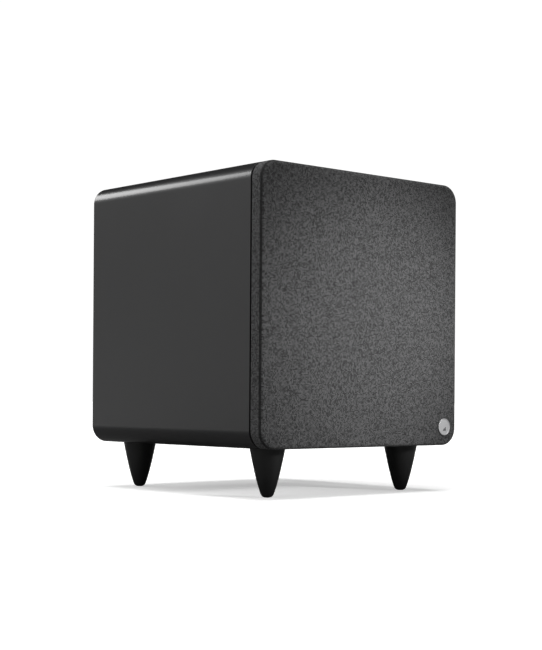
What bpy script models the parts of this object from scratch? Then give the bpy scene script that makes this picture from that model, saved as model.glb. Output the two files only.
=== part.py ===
"""Compact cube subwoofer: front-firing woofer behind a pull-off cloth grille, a passive
radiator in the floor, an amplifier in the back and four turned cone feet.

Frame: +Z up, the grille faces -Y, and the origin is on the floor under the middle of the
object's box. Everything is in metres; MM turns millimetres into them.
"""

import math

import bmesh
import bpy
from mathutils import Matrix, Vector

MM = 0.001

# ---- driving dimensions -------------------------------------------------------------
WIDTH = 278 * MM  # across the front, and also the cabinet's height
CORNER_RADIUS = 18.5 * MM  # of the cabinet's four long edges
CABINET_DEPTH = 266.7 * MM
WALL = 15 * MM
GRILLE_DEPTH = 15 * MM
GRILLE_GAP = 1.8 * MM  # the shadow line between grille and cabinet
BADGE_PROUD = 1.2 * MM
CONTROLS_PROUD = 13 * MM  # how far the knobs stand out behind the cabinet
FOOT_HEIGHT = 49 * MM
FIT = 0.3 * MM  # the gap that touching pieces keep

# ---- stations that follow from them --------------------------------------------------
HALF = WIDTH / 2
INNER_HALF = HALF - WALL
TOTAL_DEPTH = BADGE_PROUD + GRILLE_DEPTH + GRILLE_GAP + CABINET_DEPTH + CONTROLS_PROUD
GRILLE_FRONT_Y = -TOTAL_DEPTH / 2 + BADGE_PROUD
GRILLE_BACK_Y = GRILLE_FRONT_Y + GRILLE_DEPTH
CABINET_FRONT_Y = GRILLE_BACK_Y + GRILLE_GAP
CABINET_BACK_Y = CABINET_FRONT_Y + CABINET_DEPTH
BOTTOM_Z = FOOT_HEIGHT
CENTRE_Z = BOTTOM_Z + HALF
TOP_Z = BOTTOM_Z + WIDTH
FLOOR_TOP_Z = BOTTOM_Z + WALL  # the upper face of the cabinet's floor
INNER_TOP_Z = TOP_Z - WALL

BAFFLE_THICKNESS = 18 * MM
BACK_INSET = 1.5 * MM  # the rear panel sits this far inside the cabinet's back edge
PANEL_FACE_Y = CABINET_BACK_Y - BACK_INSET
PANEL_FRONT_Y = PANEL_FACE_Y - WALL

# ---- the two round drivers, as radii and as heights along their own axis ---------------
FLANGE_RADIUS = 105 * MM
FLANGE_INNER = 92 * MM
FLANGE_THICKNESS = 4 * MM
FLANGE_SUNK = 0.5 * MM
CUTOUT_RADIUS = 96 * MM
SCREW_CIRCLE = 101 * MM
SCREW_COUNT = 6
SCREW_SHANK = 1.9 * MM
SCREW_CLEARANCE = 2.25 * MM
SURROUND_INNER = 74.5 * MM
SURROUND_OUTER = 91.5 * MM
SURROUND_THICKNESS = 1 * MM
SURROUND_LIP = 4.5 * MM
RADIATOR_Y = (CABINET_FRONT_Y + CABINET_BACK_Y) / 2
COIL_RADIUS = 25 * MM
MAGNET_RADIUS = 62 * MM

# ---- feet, grille and amplifier ---------------------------------------------------------
FOOT_X = 95 * MM
FOOT_YS = {"front": GRILLE_FRONT_Y + 40 * MM, "rear": GRILLE_FRONT_Y + 254 * MM}
STUD_RADIUS = 3 * MM
CLOTH_THICKNESS = 0.8 * MM
CLOTH_EDGE_RADIUS = 3.5 * MM
GRILLE_WINDOW = 119 * MM
PEG_OFFSET = 108 * MM
PEG_RADIUS = 3 * MM
PEG_LENGTH = 11 * MM
BADGE_RADIUS = 9 * MM
BADGE_OFFSET = HALF - 19.5 * MM
PLATE_HALF = 100 * MM
PLATE_THICKNESS = 3 * MM
PLATE_FACE_Y = PANEL_FACE_Y
PLATE_BACK_Y = PLATE_FACE_Y - PLATE_THICKNESS
AMP_CUTOUT_HALF = 90 * MM
KNOB_RADIUS = 11 * MM
VOLUME_X, CROSSOVER_X = 58 * MM, 8 * MM
KNOB_Z = CENTRE_Z + 62 * MM
PHASE_X, MODE_X = -34 * MM, -66 * MM
SLIDER_Z = CENTRE_Z + 62 * MM
JACK_XS = (62 * MM, 34 * MM)
JACK_Z = CENTRE_Z + 10 * MM
LED_X, LED_Z = -50 * MM, CENTRE_Z + 38 * MM
INLET_X, ROCKER_X = -52 * MM, -12 * MM
MAINS_Z = CENTRE_Z - 66 * MM
TRANSFORMER_X, TRANSFORMER_Z = 42 * MM, CENTRE_Z - 46 * MM
PHASE_TRAVEL = 4 * MM
ROCKER_TILT = math.radians(8)

LARGE_STEPS, MIDDLE_STEPS, SMALL_STEPS = 32, 24, 16
MERGE = 0.00001

# ---- materials: colour, roughness, metallic ---------------------------------------------
FINISHES = {
    "satin_black_lacquer": ((0.012, 0.012, 0.013), 0.32, 0.0),
    "raw_fibreboard": ((0.30, 0.22, 0.15), 0.85, 0.0),
    "black_board": ((0.018, 0.018, 0.018), 0.6, 0.0),
    "foot_black": ((0.010, 0.010, 0.010), 0.38, 0.0),
    "grille_cloth": ((0.045, 0.045, 0.047), 0.95, 0.0),
    "moulded_black": ((0.020, 0.020, 0.021), 0.5, 0.0),
    "badge_silver": ((0.62, 0.62, 0.63), 0.35, 1.0),
    "cast_basket": ((0.030, 0.030, 0.032), 0.5, 0.6),
    "paper_cone": ((0.035, 0.034, 0.033), 0.8, 0.0),
    "black_rubber": ((0.016, 0.016, 0.016), 0.55, 0.0),
    "ferrite": ((0.045, 0.045, 0.048), 0.7, 0.2),
    "zinc_steel": ((0.55, 0.55, 0.53), 0.35, 1.0),
    "copper": ((0.80, 0.38, 0.18), 0.3, 1.0),
    "doped_cloth": ((0.45, 0.30, 0.12), 0.85, 0.0),
    "white_wadding": ((0.75, 0.75, 0.72), 0.95, 0.0),
    "circuit_green": ((0.02, 0.12, 0.05), 0.5, 0.0),
    "black_anodised": ((0.020, 0.020, 0.022), 0.42, 0.5),
    "led_blue": ((0.05, 0.20, 0.80), 0.2, 0.0),
}


def clear_scene():
    for obj in list(bpy.data.objects):
        bpy.data.objects.remove(obj, do_unlink=True)
    bpy.context.scene.unit_settings.scale_length = 1.0


def new_collection(name):
    collection = bpy.data.collections.new(name)
    bpy.context.scene.collection.children.link(collection)
    return collection


def finish(name):
    material = bpy.data.materials.get(name)
    if material is None:
        colour, roughness, metallic = FINISHES[name]
        material = bpy.data.materials.new(name)
        material.use_nodes = True
        shader = material.node_tree.nodes["Principled BSDF"]
        shader.inputs["Base Color"].default_value = (*colour, 1.0)
        shader.inputs["Roughness"].default_value = roughness
        shader.inputs["Metallic"].default_value = metallic
    return material


def place(obj, material, location=(0, 0, 0), parent=None, collection=None):
    """Links obj, gives it a finish, and sets it in its parent's frame."""
    (collection or PARTS).objects.link(obj)
    obj.parent = parent
    obj.location = location
    if material:
        obj.data.materials.append(finish(material))
    return obj


def axis_empty(name, location, rotation=(0, 0, 0)):
    empty = bpy.data.objects.new(name, None)
    empty.empty_display_size = 0.02
    empty.rotation_euler = rotation
    return place(empty, None, location)


def mesh_object(name, mesh_maker, material, **where):
    """An object whose mesh is filled in by mesh_maker(bm)."""
    mesh = bpy.data.meshes.new(name)
    bm = bmesh.new()
    mesh_maker(bm)
    bm.to_mesh(mesh)
    bm.free()
    return place(bpy.data.objects.new(name, mesh), material, **where)


def add_box(bm, size, centre=(0, 0, 0)):
    matrix = Matrix.Translation(Vector(centre)) @ Matrix.Diagonal((*size, 1.0))
    bmesh.ops.create_cube(bm, size=1.0, matrix=matrix)


def add_cylinder(bm, radius, low, high, centre=(0, 0), steps=SMALL_STEPS):
    """A cylinder along local Z from low to high, over the point centre."""
    matrix = Matrix.Translation((centre[0], centre[1], (low + high) / 2))
    bmesh.ops.create_cone(bm, cap_ends=True, segments=steps, radius1=radius, radius2=radius,
                          depth=high - low, matrix=matrix)


def turned(name, profile, material, steps=LARGE_STEPS, **where):
    """A profile of (radius, height) points turned round local Z. The points may run either way."""
    points = list(profile)
    pairs = zip(points, points[1:] + points[:1])
    turn = sum(x0 * z1 - x1 * z0 for (x0, z0), (x1, z1) in pairs)
    if turn > 0:
        points.reverse()

    def outline(bm):
        verts = [bm.verts.new((radius, 0, height)) for radius, height in points]
        on_axis = [v for v in verts if v.co.x < MERGE]
        for start, end in zip(verts, verts[1:] + verts[:1]):
            if not (start in on_axis and end in on_axis):
                bm.edges.new((start, end))

    obj = mesh_object(name, outline, material, **where)
    screw = obj.modifiers.new("turn", "SCREW")
    screw.steps = screw.render_steps = steps
    screw.use_merge_vertices = True
    screw.merge_threshold = MERGE
    return obj


def arc(centre, radius, start, end, steps):
    """Points on an arc from start to end degrees, both included."""
    angles = [math.radians(start + (end - start) * i / steps) for i in range(steps + 1)]
    return [(centre[0] + radius * math.cos(a), centre[1] + radius * math.sin(a)) for a in angles]


def rounded_rectangle(half_x, half_y, radius, steps=6, centre=(0, 0)):
    corners = ((1, 1, 0), (-1, 1, 90), (-1, -1, 180), (1, -1, 270))
    points = []
    for sign_x, sign_y, start in corners:
        middle = (centre[0] + sign_x * (half_x - radius), centre[1] + sign_y * (half_y - radius))
        points += arc(middle, radius, start, start + 90, steps)
    return points


def circle(radius, steps, centre=(0, 0)):
    return arc(centre, radius, 0, 360 - 360 / steps, steps - 1)


def outlined(name, outlines, thickness, material, **where):
    """A flat outline with holes, as a filled 2D curve of that thickness about local z = 0."""
    curve = bpy.data.curves.new(name, "CURVE")
    curve.dimensions = "2D"
    curve.fill_mode = "BOTH"
    curve.extrude = thickness / 2
    for points in outlines:
        spline = curve.splines.new("POLY")
        spline.points.add(len(points) - 1)
        for target, (x, y) in zip(spline.points, points):
            target.co = (x, y, 0, 1)
        spline.use_cyclic_u = True
    flat = bpy.data.objects.new(name + "_outline", curve)
    bpy.context.scene.collection.objects.link(flat)
    bpy.context.view_layer.update()
    graph = bpy.context.evaluated_depsgraph_get()
    mesh = bpy.data.meshes.new_from_object(flat.evaluated_get(graph))
    bpy.data.objects.remove(flat, do_unlink=True)
    bpy.data.curves.remove(curve)
    bm = bmesh.new()
    bm.from_mesh(mesh)
    bmesh.ops.remove_doubles(bm, verts=bm.verts, dist=MERGE)
    bmesh.ops.recalc_face_normals(bm, faces=bm.faces)
    bmesh.ops.dissolve_limit(bm, angle_limit=math.radians(1), verts=bm.verts, edges=bm.edges)
    bm.to_mesh(mesh)
    bm.free()
    mesh.materials.clear()
    mesh.name = name
    return place(bpy.data.objects.new(name, mesh), material, **where)


def cut(obj, cutter, operation="DIFFERENCE"):
    modifier = obj.modifiers.new(cutter.name, "BOOLEAN")
    modifier.operation = operation
    modifier.object = cutter


def cutter(name, mesh_maker, **where):
    obj = mesh_object(name, mesh_maker, None, collection=CUTTERS, **where)
    obj.hide_render = True
    obj.display_type = "WIRE"
    return obj


def box_cutter(name, size, centre):
    return cutter(name, lambda bm: add_box(bm, size, centre))


def ring_of_cylinders(radius, low, high, circle_radius, count, turn=0.0, steps=10):
    """A mesh maker for count cylinders along local Z on a circle."""

    def maker(bm):
        for index in range(count):
            angle = turn + 2 * math.pi * index / count
            centre = (circle_radius * math.cos(angle), circle_radius * math.sin(angle))
            add_cylinder(bm, radius, low, high, centre, steps)

    return maker


def bevel_back_edge(obj, width):
    """Rounds only the outer edge at local z = the object's own highest face."""
    mesh = obj.data
    top = max(v.co.z for v in mesh.vertices)
    weight = mesh.attributes.new("bevel_weight_edge", "FLOAT", "EDGE")
    outer = {v.index for v in mesh.vertices
             if v.co.z > top - MERGE and max(abs(v.co.x), abs(v.co.y)) > INNER_HALF + WALL / 2}
    for edge in mesh.edges:
        if set(edge.vertices) <= outer:
            weight.data[edge.index].value = 1.0
    bevel = obj.modifiers.new("back_edge", "BEVEL")
    bevel.limit_method = "WEIGHT"
    bevel.width = width
    bevel.segments = 2


# ---- cabinet ---------------------------------------------------------------------------
def make_cabinet():
    """The wrapped four-sided shell, its front baffle, rear panel and arched brace."""
    # Local z of a cabinet board is the world's +Y, and local y is the world's +Z.
    middle_y = (CABINET_FRONT_Y + CABINET_BACK_Y) / 2
    wrap = outlined("cabinet_wrap",
                    [rounded_rectangle(HALF, HALF, CORNER_RADIUS, 8),
                     rounded_rectangle(INNER_HALF, INNER_HALF, CORNER_RADIUS - WALL, 2)],
                    CABINET_DEPTH, "satin_black_lacquer")
    # Turned so that the extrusion runs back, which leaves the outline upright.
    wrap.data.transform(Matrix.Diagonal((-1, 1, 1, 1)))
    wrap.data.flip_normals()
    bevel_back_edge(wrap, 2.3 * MM)
    wrap.location = (0, middle_y, CENTRE_Z)
    wrap.rotation_euler = (math.radians(90), 0, math.radians(180))

    floor_hole = cutter("floor_cutout", lambda bm: add_cylinder(
        bm, CUTOUT_RADIUS, -5 * MM, WALL + 5 * MM, steps=LARGE_STEPS),
        location=(0, RADIATOR_Y, BOTTOM_Z))
    floor_rebate = cutter("floor_rebate", lambda bm: add_cylinder(
        bm, FLANGE_RADIUS + 0.5 * MM, -5 * MM, 6 * MM, steps=LARGE_STEPS),
        location=(0, RADIATOR_Y, BOTTOM_Z))

    def stud_holes(bm):
        for x in (-FOOT_X, FOOT_X):
            for y in FOOT_YS.values():
                add_cylinder(bm, STUD_RADIUS + FIT, BOTTOM_Z - 5 * MM, FLOOR_TOP_Z + 5 * MM,
                             (x, y), 12)

    cut(wrap, floor_hole)
    cut(wrap, floor_rebate)
    cut(wrap, cutter("stud_holes", stud_holes))

    board_half = INNER_HALF - FIT
    board_radius = CORNER_RADIUS - WALL
    baffle = outlined("front_baffle",
                      [rounded_rectangle(board_half, board_half, board_radius, 2),
                       circle(CUTOUT_RADIUS, LARGE_STEPS)],
                      BAFFLE_THICKNESS, "black_board",
                      location=(0, 0, -BAFFLE_THICKNESS / 2), parent=WOOFER_AXIS)
    cut(baffle, cutter("baffle_rebate", lambda bm: add_cylinder(
        bm, FLANGE_RADIUS + 0.5 * MM, -6 * MM, 5 * MM, steps=LARGE_STEPS), parent=WOOFER_AXIS))
    cut(baffle, cutter("baffle_screw_holes", ring_of_cylinders(
        SCREW_CLEARANCE, -16 * MM, 5 * MM, SCREW_CIRCLE, SCREW_COUNT), parent=WOOFER_AXIS))
    cut(baffle, cutter("baffle_socket_holes", ring_of_cylinders(
        5.5 * MM, -14 * MM, 5 * MM, PEG_OFFSET * math.sqrt(2), 4, math.pi / 4, 14),
        parent=WOOFER_AXIS))

    outline = rounded_rectangle(board_half, board_half, board_radius, 2)
    panel = outlined("rear_panel", [outline], WALL, "black_board", parent=WOOFER_AXIS,
                     location=(0, 0, CABINET_FRONT_Y - PANEL_FRONT_Y - WALL / 2))
    cut(panel, box_cutter("amp_cutout", (2 * AMP_CUTOUT_HALF, 4 * WALL, 2 * AMP_CUTOUT_HALF),
                          (0, PANEL_FACE_Y, CENTRE_Z)))
    rebate = PLATE_THICKNESS + FIT
    cut(panel, box_cutter("amp_rebate",
                          (2 * PLATE_HALF + 1 * MM, 2 * rebate, 2 * PLATE_HALF + 1 * MM),
                          (0, PANEL_FACE_Y, CENTRE_Z)))

    brace_y, brace_thickness, rail = 41 * MM, 12 * MM, 24 * MM
    brace = outlined("brace", [outline], brace_thickness, "raw_fibreboard", parent=WOOFER_AXIS,
                     location=(0, 0, CABINET_FRONT_Y - brace_y))
    cut(brace, box_cutter("brace_arch",
                          (2 * (board_half - rail), 2 * brace_thickness, 2 * board_half),
                          (0, brace_y, CENTRE_Z - rail)))


def make_feet():
    """Turned cone feet, each on a steel stud that screws into the cabinet's floor."""
    tip = 3 * MM
    profile = [(0, 0), (tip, 0), (5.1 * MM, 1.6 * MM), (6.4 * MM, 4 * MM), (7.9 * MM, 8 * MM),
               (10.2 * MM, 15.5 * MM), (12.7 * MM, 24.5 * MM), (14.9 * MM, 33.5 * MM),
               (16.8 * MM, 42.5 * MM), (17.8 * MM, FOOT_HEIGHT - FIT)]
    bore = STUD_RADIUS + FIT
    bore_depth = 18 * MM
    bore_profile = [(bore, FOOT_HEIGHT - FIT), (bore, FOOT_HEIGHT - bore_depth),
                    (0, FOOT_HEIGHT - bore_depth)]
    stud_low, stud_high = FOOT_HEIGHT - bore_depth + FIT, FLOOR_TOP_Z - 1 * MM
    chamfer = 0.8 * MM
    stud = [(0, stud_low), (STUD_RADIUS - chamfer, stud_low), (STUD_RADIUS, stud_low + chamfer),
            (STUD_RADIUS, stud_high - chamfer), (STUD_RADIUS - chamfer, stud_high), (0, stud_high)]
    for end, y in FOOT_YS.items():
        for side, x in (("left", -FOOT_X), ("right", FOOT_X)):
            turned(f"foot_{end}_{side}", profile + bore_profile, "foot_black", 24,
                   location=(x, y, 0))
            turned(f"foot_stud_{end}_{side}", stud, "zinc_steel", 12, location=(x, y, 0))


# ---- what the two drivers share ------------------------------------------------------------
def surround_profile():
    """A half-roll with an inner lip for the cone and an outer lip on the flange, bulging up.

    Height 0 is the underside of the outer lip."""
    roll_radius = (SURROUND_OUTER - SURROUND_INNER) / 2
    roll_centre = ((SURROUND_OUTER + SURROUND_INNER) / 2, 0.0)
    upper = arc(roll_centre, roll_radius + SURROUND_THICKNESS, 0, 180, 6)
    lower = arc(roll_centre, roll_radius, 180, 0, 6)
    upper = [(max(SURROUND_INNER - SURROUND_THICKNESS, r), max(h, SURROUND_THICKNESS))
             for r, h in upper]
    outer, inner = SURROUND_OUTER + SURROUND_LIP, SURROUND_INNER - SURROUND_LIP
    outer_lip = [(outer, 0), (outer, SURROUND_THICKNESS)]
    inner_lip = [(inner, SURROUND_THICKNESS), (inner, 0)]
    return outer_lip + upper + inner_lip + lower


def make_woofer():
    """The front driver. Local z runs out of the baffle, so the motor is at negative heights."""
    flange_top, flange_low = -FLANGE_SUNK, -FLANGE_SUNK - FLANGE_THICKNESS
    seat, wall = -64 * MM, 3 * MM
    ledge_top, ledge_inner = -46 * MM, 61 * MM
    outer = [(FLANGE_RADIUS, flange_top), (FLANGE_RADIUS, flange_low),
             (FLANGE_INNER + wall, flange_low), (FLANGE_INNER + wall - 2 * MM, -18 * MM),
             (73 * MM, -58 * MM), (70 * MM, seat - wall), (31 * MM, seat - wall)]
    inner = [(31 * MM, seat), (66 * MM, seat), (69.5 * MM, -57 * MM), (73.5 * MM, ledge_top - wall),
             (ledge_inner, ledge_top - wall), (ledge_inner, ledge_top), (75.5 * MM, ledge_top),
             (89.5 * MM, -17 * MM), (FLANGE_INNER, flange_low), (FLANGE_INNER, flange_top)]
    basket = turned("woofer_basket", outer + inner, "cast_basket", parent=WOOFER_AXIS)

    def windows(bm):
        for index in range(SCREW_COUNT):
            turn = Matrix.Rotation(2 * math.pi * (index + 0.5) / SCREW_COUNT, 4, "Z")
            shape = Matrix.Translation((84 * MM, 0, -30 * MM)) @ Matrix.Diagonal(
                (44 * MM, 62 * MM, 24 * MM, 1))
            bmesh.ops.create_cube(bm, size=1.0, matrix=turn @ shape)

    cut(basket, cutter("basket_windows", windows, parent=WOOFER_AXIS))
    cut(basket, cutter("flange_screw_holes", ring_of_cylinders(
        SCREW_CLEARANCE, -10 * MM, 5 * MM, SCREW_CIRCLE, SCREW_COUNT), parent=WOOFER_AXIS))

    gasket_top = flange_low - FIT
    gasket_low = -6 * MM + FIT
    gasket = turned("woofer_gasket",
                    [(FLANGE_RADIUS, gasket_top), (FLANGE_RADIUS, gasket_low),
                     (CUTOUT_RADIUS + 1 * MM, gasket_low), (CUTOUT_RADIUS + 1 * MM, gasket_top)],
                    "black_rubber", parent=WOOFER_AXIS)
    cut(gasket, cutter("gasket_screw_holes", ring_of_cylinders(
        SCREW_CLEARANCE, -10 * MM, 5 * MM, SCREW_CIRCLE, SCREW_COUNT), parent=WOOFER_AXIS))

    head_low, head_high, head_radius = flange_top + FIT, flange_top + FIT + 2.2 * MM, 3.3 * MM
    screw = [(0, head_high), (1.9 * MM, head_high), (head_radius, head_low + 0.9 * MM),
             (head_radius, head_low), (SCREW_SHANK, head_low), (SCREW_SHANK, -13 * MM),
             (0, -15 * MM)]
    for index in range(SCREW_COUNT):
        angle = 2 * math.pi * index / SCREW_COUNT
        spot = (SCREW_CIRCLE * math.cos(angle), SCREW_CIRCLE * math.sin(angle), 0)
        turned(f"woofer_screw_{index + 1}", screw, "zinc_steel", 10, parent=WOOFER_AXIS,
               location=spot)

    turned("woofer_surround", surround_profile(), "black_rubber", parent=WOOFER_AXIS,
           location=(0, 0, flange_top + FIT))
    make_motor(seat - wall - FIT)
    make_spider(ledge_top + FIT, ledge_inner)
    make_moving_assembly()


def make_motor(front):
    """Top plate, ferrite ring and T-yoke, stacked behind the basket's seat."""
    plate_low = front - 8 * MM
    magnet_top, magnet_low = plate_low - FIT, plate_low - FIT - 20 * MM
    yoke_top, yoke_low = magnet_low - FIT, magnet_low - FIT - 8 * MM
    pole, vent, gap_radius = COIL_RADIUS - 0.8 * MM, 8 * MM, COIL_RADIUS + 3.6 * MM
    turned("woofer_top_plate",
           [(gap_radius, front), (56 * MM, front), (57 * MM, front - 1 * MM), (57 * MM, plate_low),
            (gap_radius, plate_low)], "zinc_steel", parent=WOOFER_AXIS)
    turned("woofer_magnet",
           [(35 * MM, magnet_top), (MAGNET_RADIUS - 1 * MM, magnet_top),
            (MAGNET_RADIUS, magnet_top - 1 * MM), (MAGNET_RADIUS, magnet_low + 1 * MM),
            (MAGNET_RADIUS - 1 * MM, magnet_low), (35 * MM, magnet_low)],
           "ferrite", parent=WOOFER_AXIS)
    turned("woofer_yoke",
           [(vent, front), (pole, front), (pole, yoke_top), (58 * MM, yoke_top), (58 * MM, yoke_low),
            (vent + 2 * MM, yoke_low), (vent, yoke_low + 4 * MM)],
           "zinc_steel", MIDDLE_STEPS, parent=WOOFER_AXIS)


def make_spider(height, ledge_inner):
    """A corrugated cloth disc between the coil former and the basket's ledge."""
    inner, outer = COIL_RADIUS + 0.9 * MM, ledge_inner + 6 * MM
    rolls, per_roll, wave, thickness = 4, 3, 1.6 * MM, 0.5 * MM
    flat = ledge_inner - 1 * MM
    upper, lower = [], []
    for step in range(rolls * per_roll + 1):
        share = step / (rolls * per_roll)
        radius = inner + (flat - inner) * share
        lift = wave * (1 - math.cos(2 * math.pi * rolls * share)) / 2
        upper.append((radius, height + thickness + lift))
        lower.append((radius, height + lift))
    upper.append((outer, height + thickness))
    lower.append((outer, height))
    turned("woofer_spider", upper + lower[::-1], "doped_cloth", MIDDLE_STEPS, parent=WOOFER_AXIS)


def make_moving_assembly():
    """Cone, dust cap, coil former and winding, all on the woofer's axis."""
    neck_radius, neck_height = COIL_RADIUS + 0.9 * MM, -38 * MM
    rim_radius, rim_height, paper = SURROUND_INNER + 0.2 * MM, -1.2 * MM, 1.2 * MM
    upper, lower = [], []
    for step in range(7):
        share = step / 6
        radius = neck_radius + (rim_radius - neck_radius) * share
        # The cone flares: it is steepest at the neck.
        height = neck_height + (rim_height - paper - neck_height) * share ** 0.82
        upper.append((radius, height + paper))
        lower.append((radius, height))
    turned("woofer_cone", upper + lower[::-1], "paper_cone", parent=WOOFER_AXIS)

    cap_radius, cap_rise, shell = 33 * MM, 11 * MM, 0.8 * MM
    cap_height = -29.4 * MM
    dome = [(cap_radius * math.sin(a), cap_height + cap_rise * math.cos(a))
            for a in (math.radians(d) for d in (0, 18, 36, 54, 72, 90))]
    inside = [(max(r - shell, 0), max(h - shell, cap_height)) for r, h in dome[:-1]]
    inside.append((cap_radius - shell, cap_height))
    turned("woofer_dust_cap", dome + inside[::-1], "paper_cone", MIDDLE_STEPS, parent=WOOFER_AXIS)

    former_top, former_low, foil = neck_height + paper - 0.1 * MM, -82 * MM, 0.6 * MM
    turned("voice_coil_former",
           [(COIL_RADIUS, former_top), (COIL_RADIUS + foil, former_top),
            (COIL_RADIUS + foil, former_low), (COIL_RADIUS, former_low)],
           "doped_cloth", MIDDLE_STEPS, parent=WOOFER_AXIS)
    wire_inner, wire_outer = COIL_RADIUS + foil + FIT, COIL_RADIUS + 2.3 * MM
    turned("voice_coil_winding",
           [(wire_inner, -60 * MM), (wire_outer, -60 * MM), (wire_outer, -81 * MM),
            (wire_inner, -81 * MM)], "copper", MIDDLE_STEPS, parent=WOOFER_AXIS)


def make_radiator():
    """The passive radiator in the cabinet's floor. Local z runs down, out of the cabinet.

    Its surround rolls inwards, so that nothing stands out below the cabinet."""
    flange_top, flange_low = -FLANGE_SUNK, -FLANGE_SUNK - FLANGE_THICKNESS
    roll_outer = SURROUND_OUTER + SURROUND_THICKNESS
    roll_inner = SURROUND_INNER - SURROUND_THICKNESS
    inner, collar = roll_outer + 0.7 * MM, 2.4 * MM
    turned("radiator_frame",
           [(inner, flange_top), (FLANGE_RADIUS, flange_top), (FLANGE_RADIUS, flange_low),
            (inner + collar, flange_low), (inner + collar, -20 * MM), (inner, -20 * MM)],
           "cast_basket", parent=RADIATOR_AXIS)
    rolled_in = [(r, SURROUND_THICKNESS - h) for r, h in reversed(surround_profile())]
    turned("radiator_surround", rolled_in, "black_rubber", parent=RADIATOR_AXIS,
           location=(0, 0, flange_top + FIT))
    rim, face = roll_inner - FIT, flange_top
    turned("radiator_cone",
           [(0, -7 * MM), (40 * MM, -7 * MM), (62 * MM, -3.5 * MM), (69 * MM, face), (rim, face),
            (rim, face - 1.5 * MM), (66 * MM, -9 * MM), (40 * MM, -12 * MM), (0, -12 * MM)],
           "paper_cone", parent=RADIATOR_AXIS)
    turned("radiator_weight",
           [(0, -12.3 * MM), (24 * MM, -12.3 * MM), (24 * MM, -21 * MM), (23 * MM, -22 * MM),
            (7 * MM, -22 * MM), (6.5 * MM, -26 * MM), (0, -26 * MM)],
           "zinc_steel", MIDDLE_STEPS, parent=RADIATOR_AXIS)


# ---- grille ------------------------------------------------------------------------------
def make_grille():
    """A moulded frame with four pegs, cloth stretched over it, and a round badge."""
    inset = CLOTH_THICKNESS + 1.5 * FIT
    frame_half, frame_radius = HALF - inset, CORNER_RADIUS - inset
    frame_front = GRILLE_FRONT_Y + inset
    frame_thickness = GRILLE_BACK_Y - 0.5 * MM - frame_front
    frame = outlined("grille_frame",
                     [rounded_rectangle(frame_half, frame_half, frame_radius, 6),
                      circle(GRILLE_WINDOW, LARGE_STEPS)],
                     frame_thickness, "moulded_black", parent=WOOFER_AXIS)
    frame.location.z = CABINET_FRONT_Y - frame_front - frame_thickness / 2
    edge = frame.modifiers.new("eased_edges", "BEVEL")
    edge.width = 2.7 * MM
    edge.segments = 1
    edge.use_clamp_overlap = False
    edge.angle_limit = math.radians(60)
    frame_back = CABINET_FRONT_Y - frame_front - frame_thickness
    pegs = cutter("grille_pegs", ring_of_cylinders(
        PEG_RADIUS, frame_back - PEG_LENGTH, frame_back + 2 * MM, PEG_OFFSET * math.sqrt(2), 4,
        math.pi / 4, 12), parent=WOOFER_AXIS)
    cut(frame, pegs, "UNION")

    socket = [(3.4 * MM, 0.9 * MM), (7 * MM, 0.9 * MM), (7 * MM, FIT), (5.2 * MM, FIT),
              (5.2 * MM, -13 * MM), (0, -13 * MM), (0, -11.5 * MM), (3.4 * MM, -11.5 * MM)]
    for row, up in (("top", 1), ("bottom", -1)):
        for side, across in (("left", -1), ("right", 1)):
            turned(f"grille_socket_{row}_{side}", socket, "black_rubber", 14, parent=WOOFER_AXIS,
                   location=(across * PEG_OFFSET, up * PEG_OFFSET, 0))

    cloth = outlined("grille_cloth", [rounded_rectangle(HALF, HALF, CORNER_RADIUS, 6)],
                     GRILLE_DEPTH, "grille_cloth", parent=WOOFER_AXIS,
                     location=(0, 0, CABINET_FRONT_Y - (GRILLE_FRONT_Y + GRILLE_BACK_Y) / 2))
    open_back(cloth.data)
    fold = cloth.modifiers.new("front_fold", "BEVEL")
    fold.width = CLOTH_EDGE_RADIUS
    fold.segments = 2
    fold.angle_limit = math.radians(60)
    sheet = cloth.modifiers.new("cloth_thickness", "SOLIDIFY")
    sheet.thickness = CLOTH_THICKNESS
    sheet.offset = -1

    front = GRILLE_FRONT_Y - FIT
    edge_round = 0.4 * MM
    badge = [(0, 0), (BADGE_RADIUS, 0), (BADGE_RADIUS, BADGE_PROUD - FIT - edge_round),
             (BADGE_RADIUS - edge_round, BADGE_PROUD - FIT), (0, BADGE_PROUD - FIT)]
    turned("badge", badge, "badge_silver", 24, parent=WOOFER_AXIS,
           location=(BADGE_OFFSET, -BADGE_OFFSET, CABINET_FRONT_Y - front))


def open_back(mesh):
    """Removes the faces at the lowest local z, which leaves a tray open behind."""
    bm = bmesh.new()
    bm.from_mesh(mesh)
    low = min(v.co.z for v in bm.verts)
    back = [f for f in bm.faces if all(v.co.z < low + MERGE for v in f.verts)]
    bmesh.ops.delete(bm, geom=back, context="FACES")
    bmesh.ops.dissolve_limit(bm, angle_limit=math.radians(1), verts=bm.verts, edges=bm.edges)
    bm.to_mesh(mesh)
    bm.free()


# ---- amplifier -----------------------------------------------------------------------------
def back_axis(name, x, z):
    """An empty on the plate's outer face whose local z points out of the back."""
    return axis_empty(name, (x, PLATE_FACE_Y, z), (math.radians(-90), 0, 0))


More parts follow.
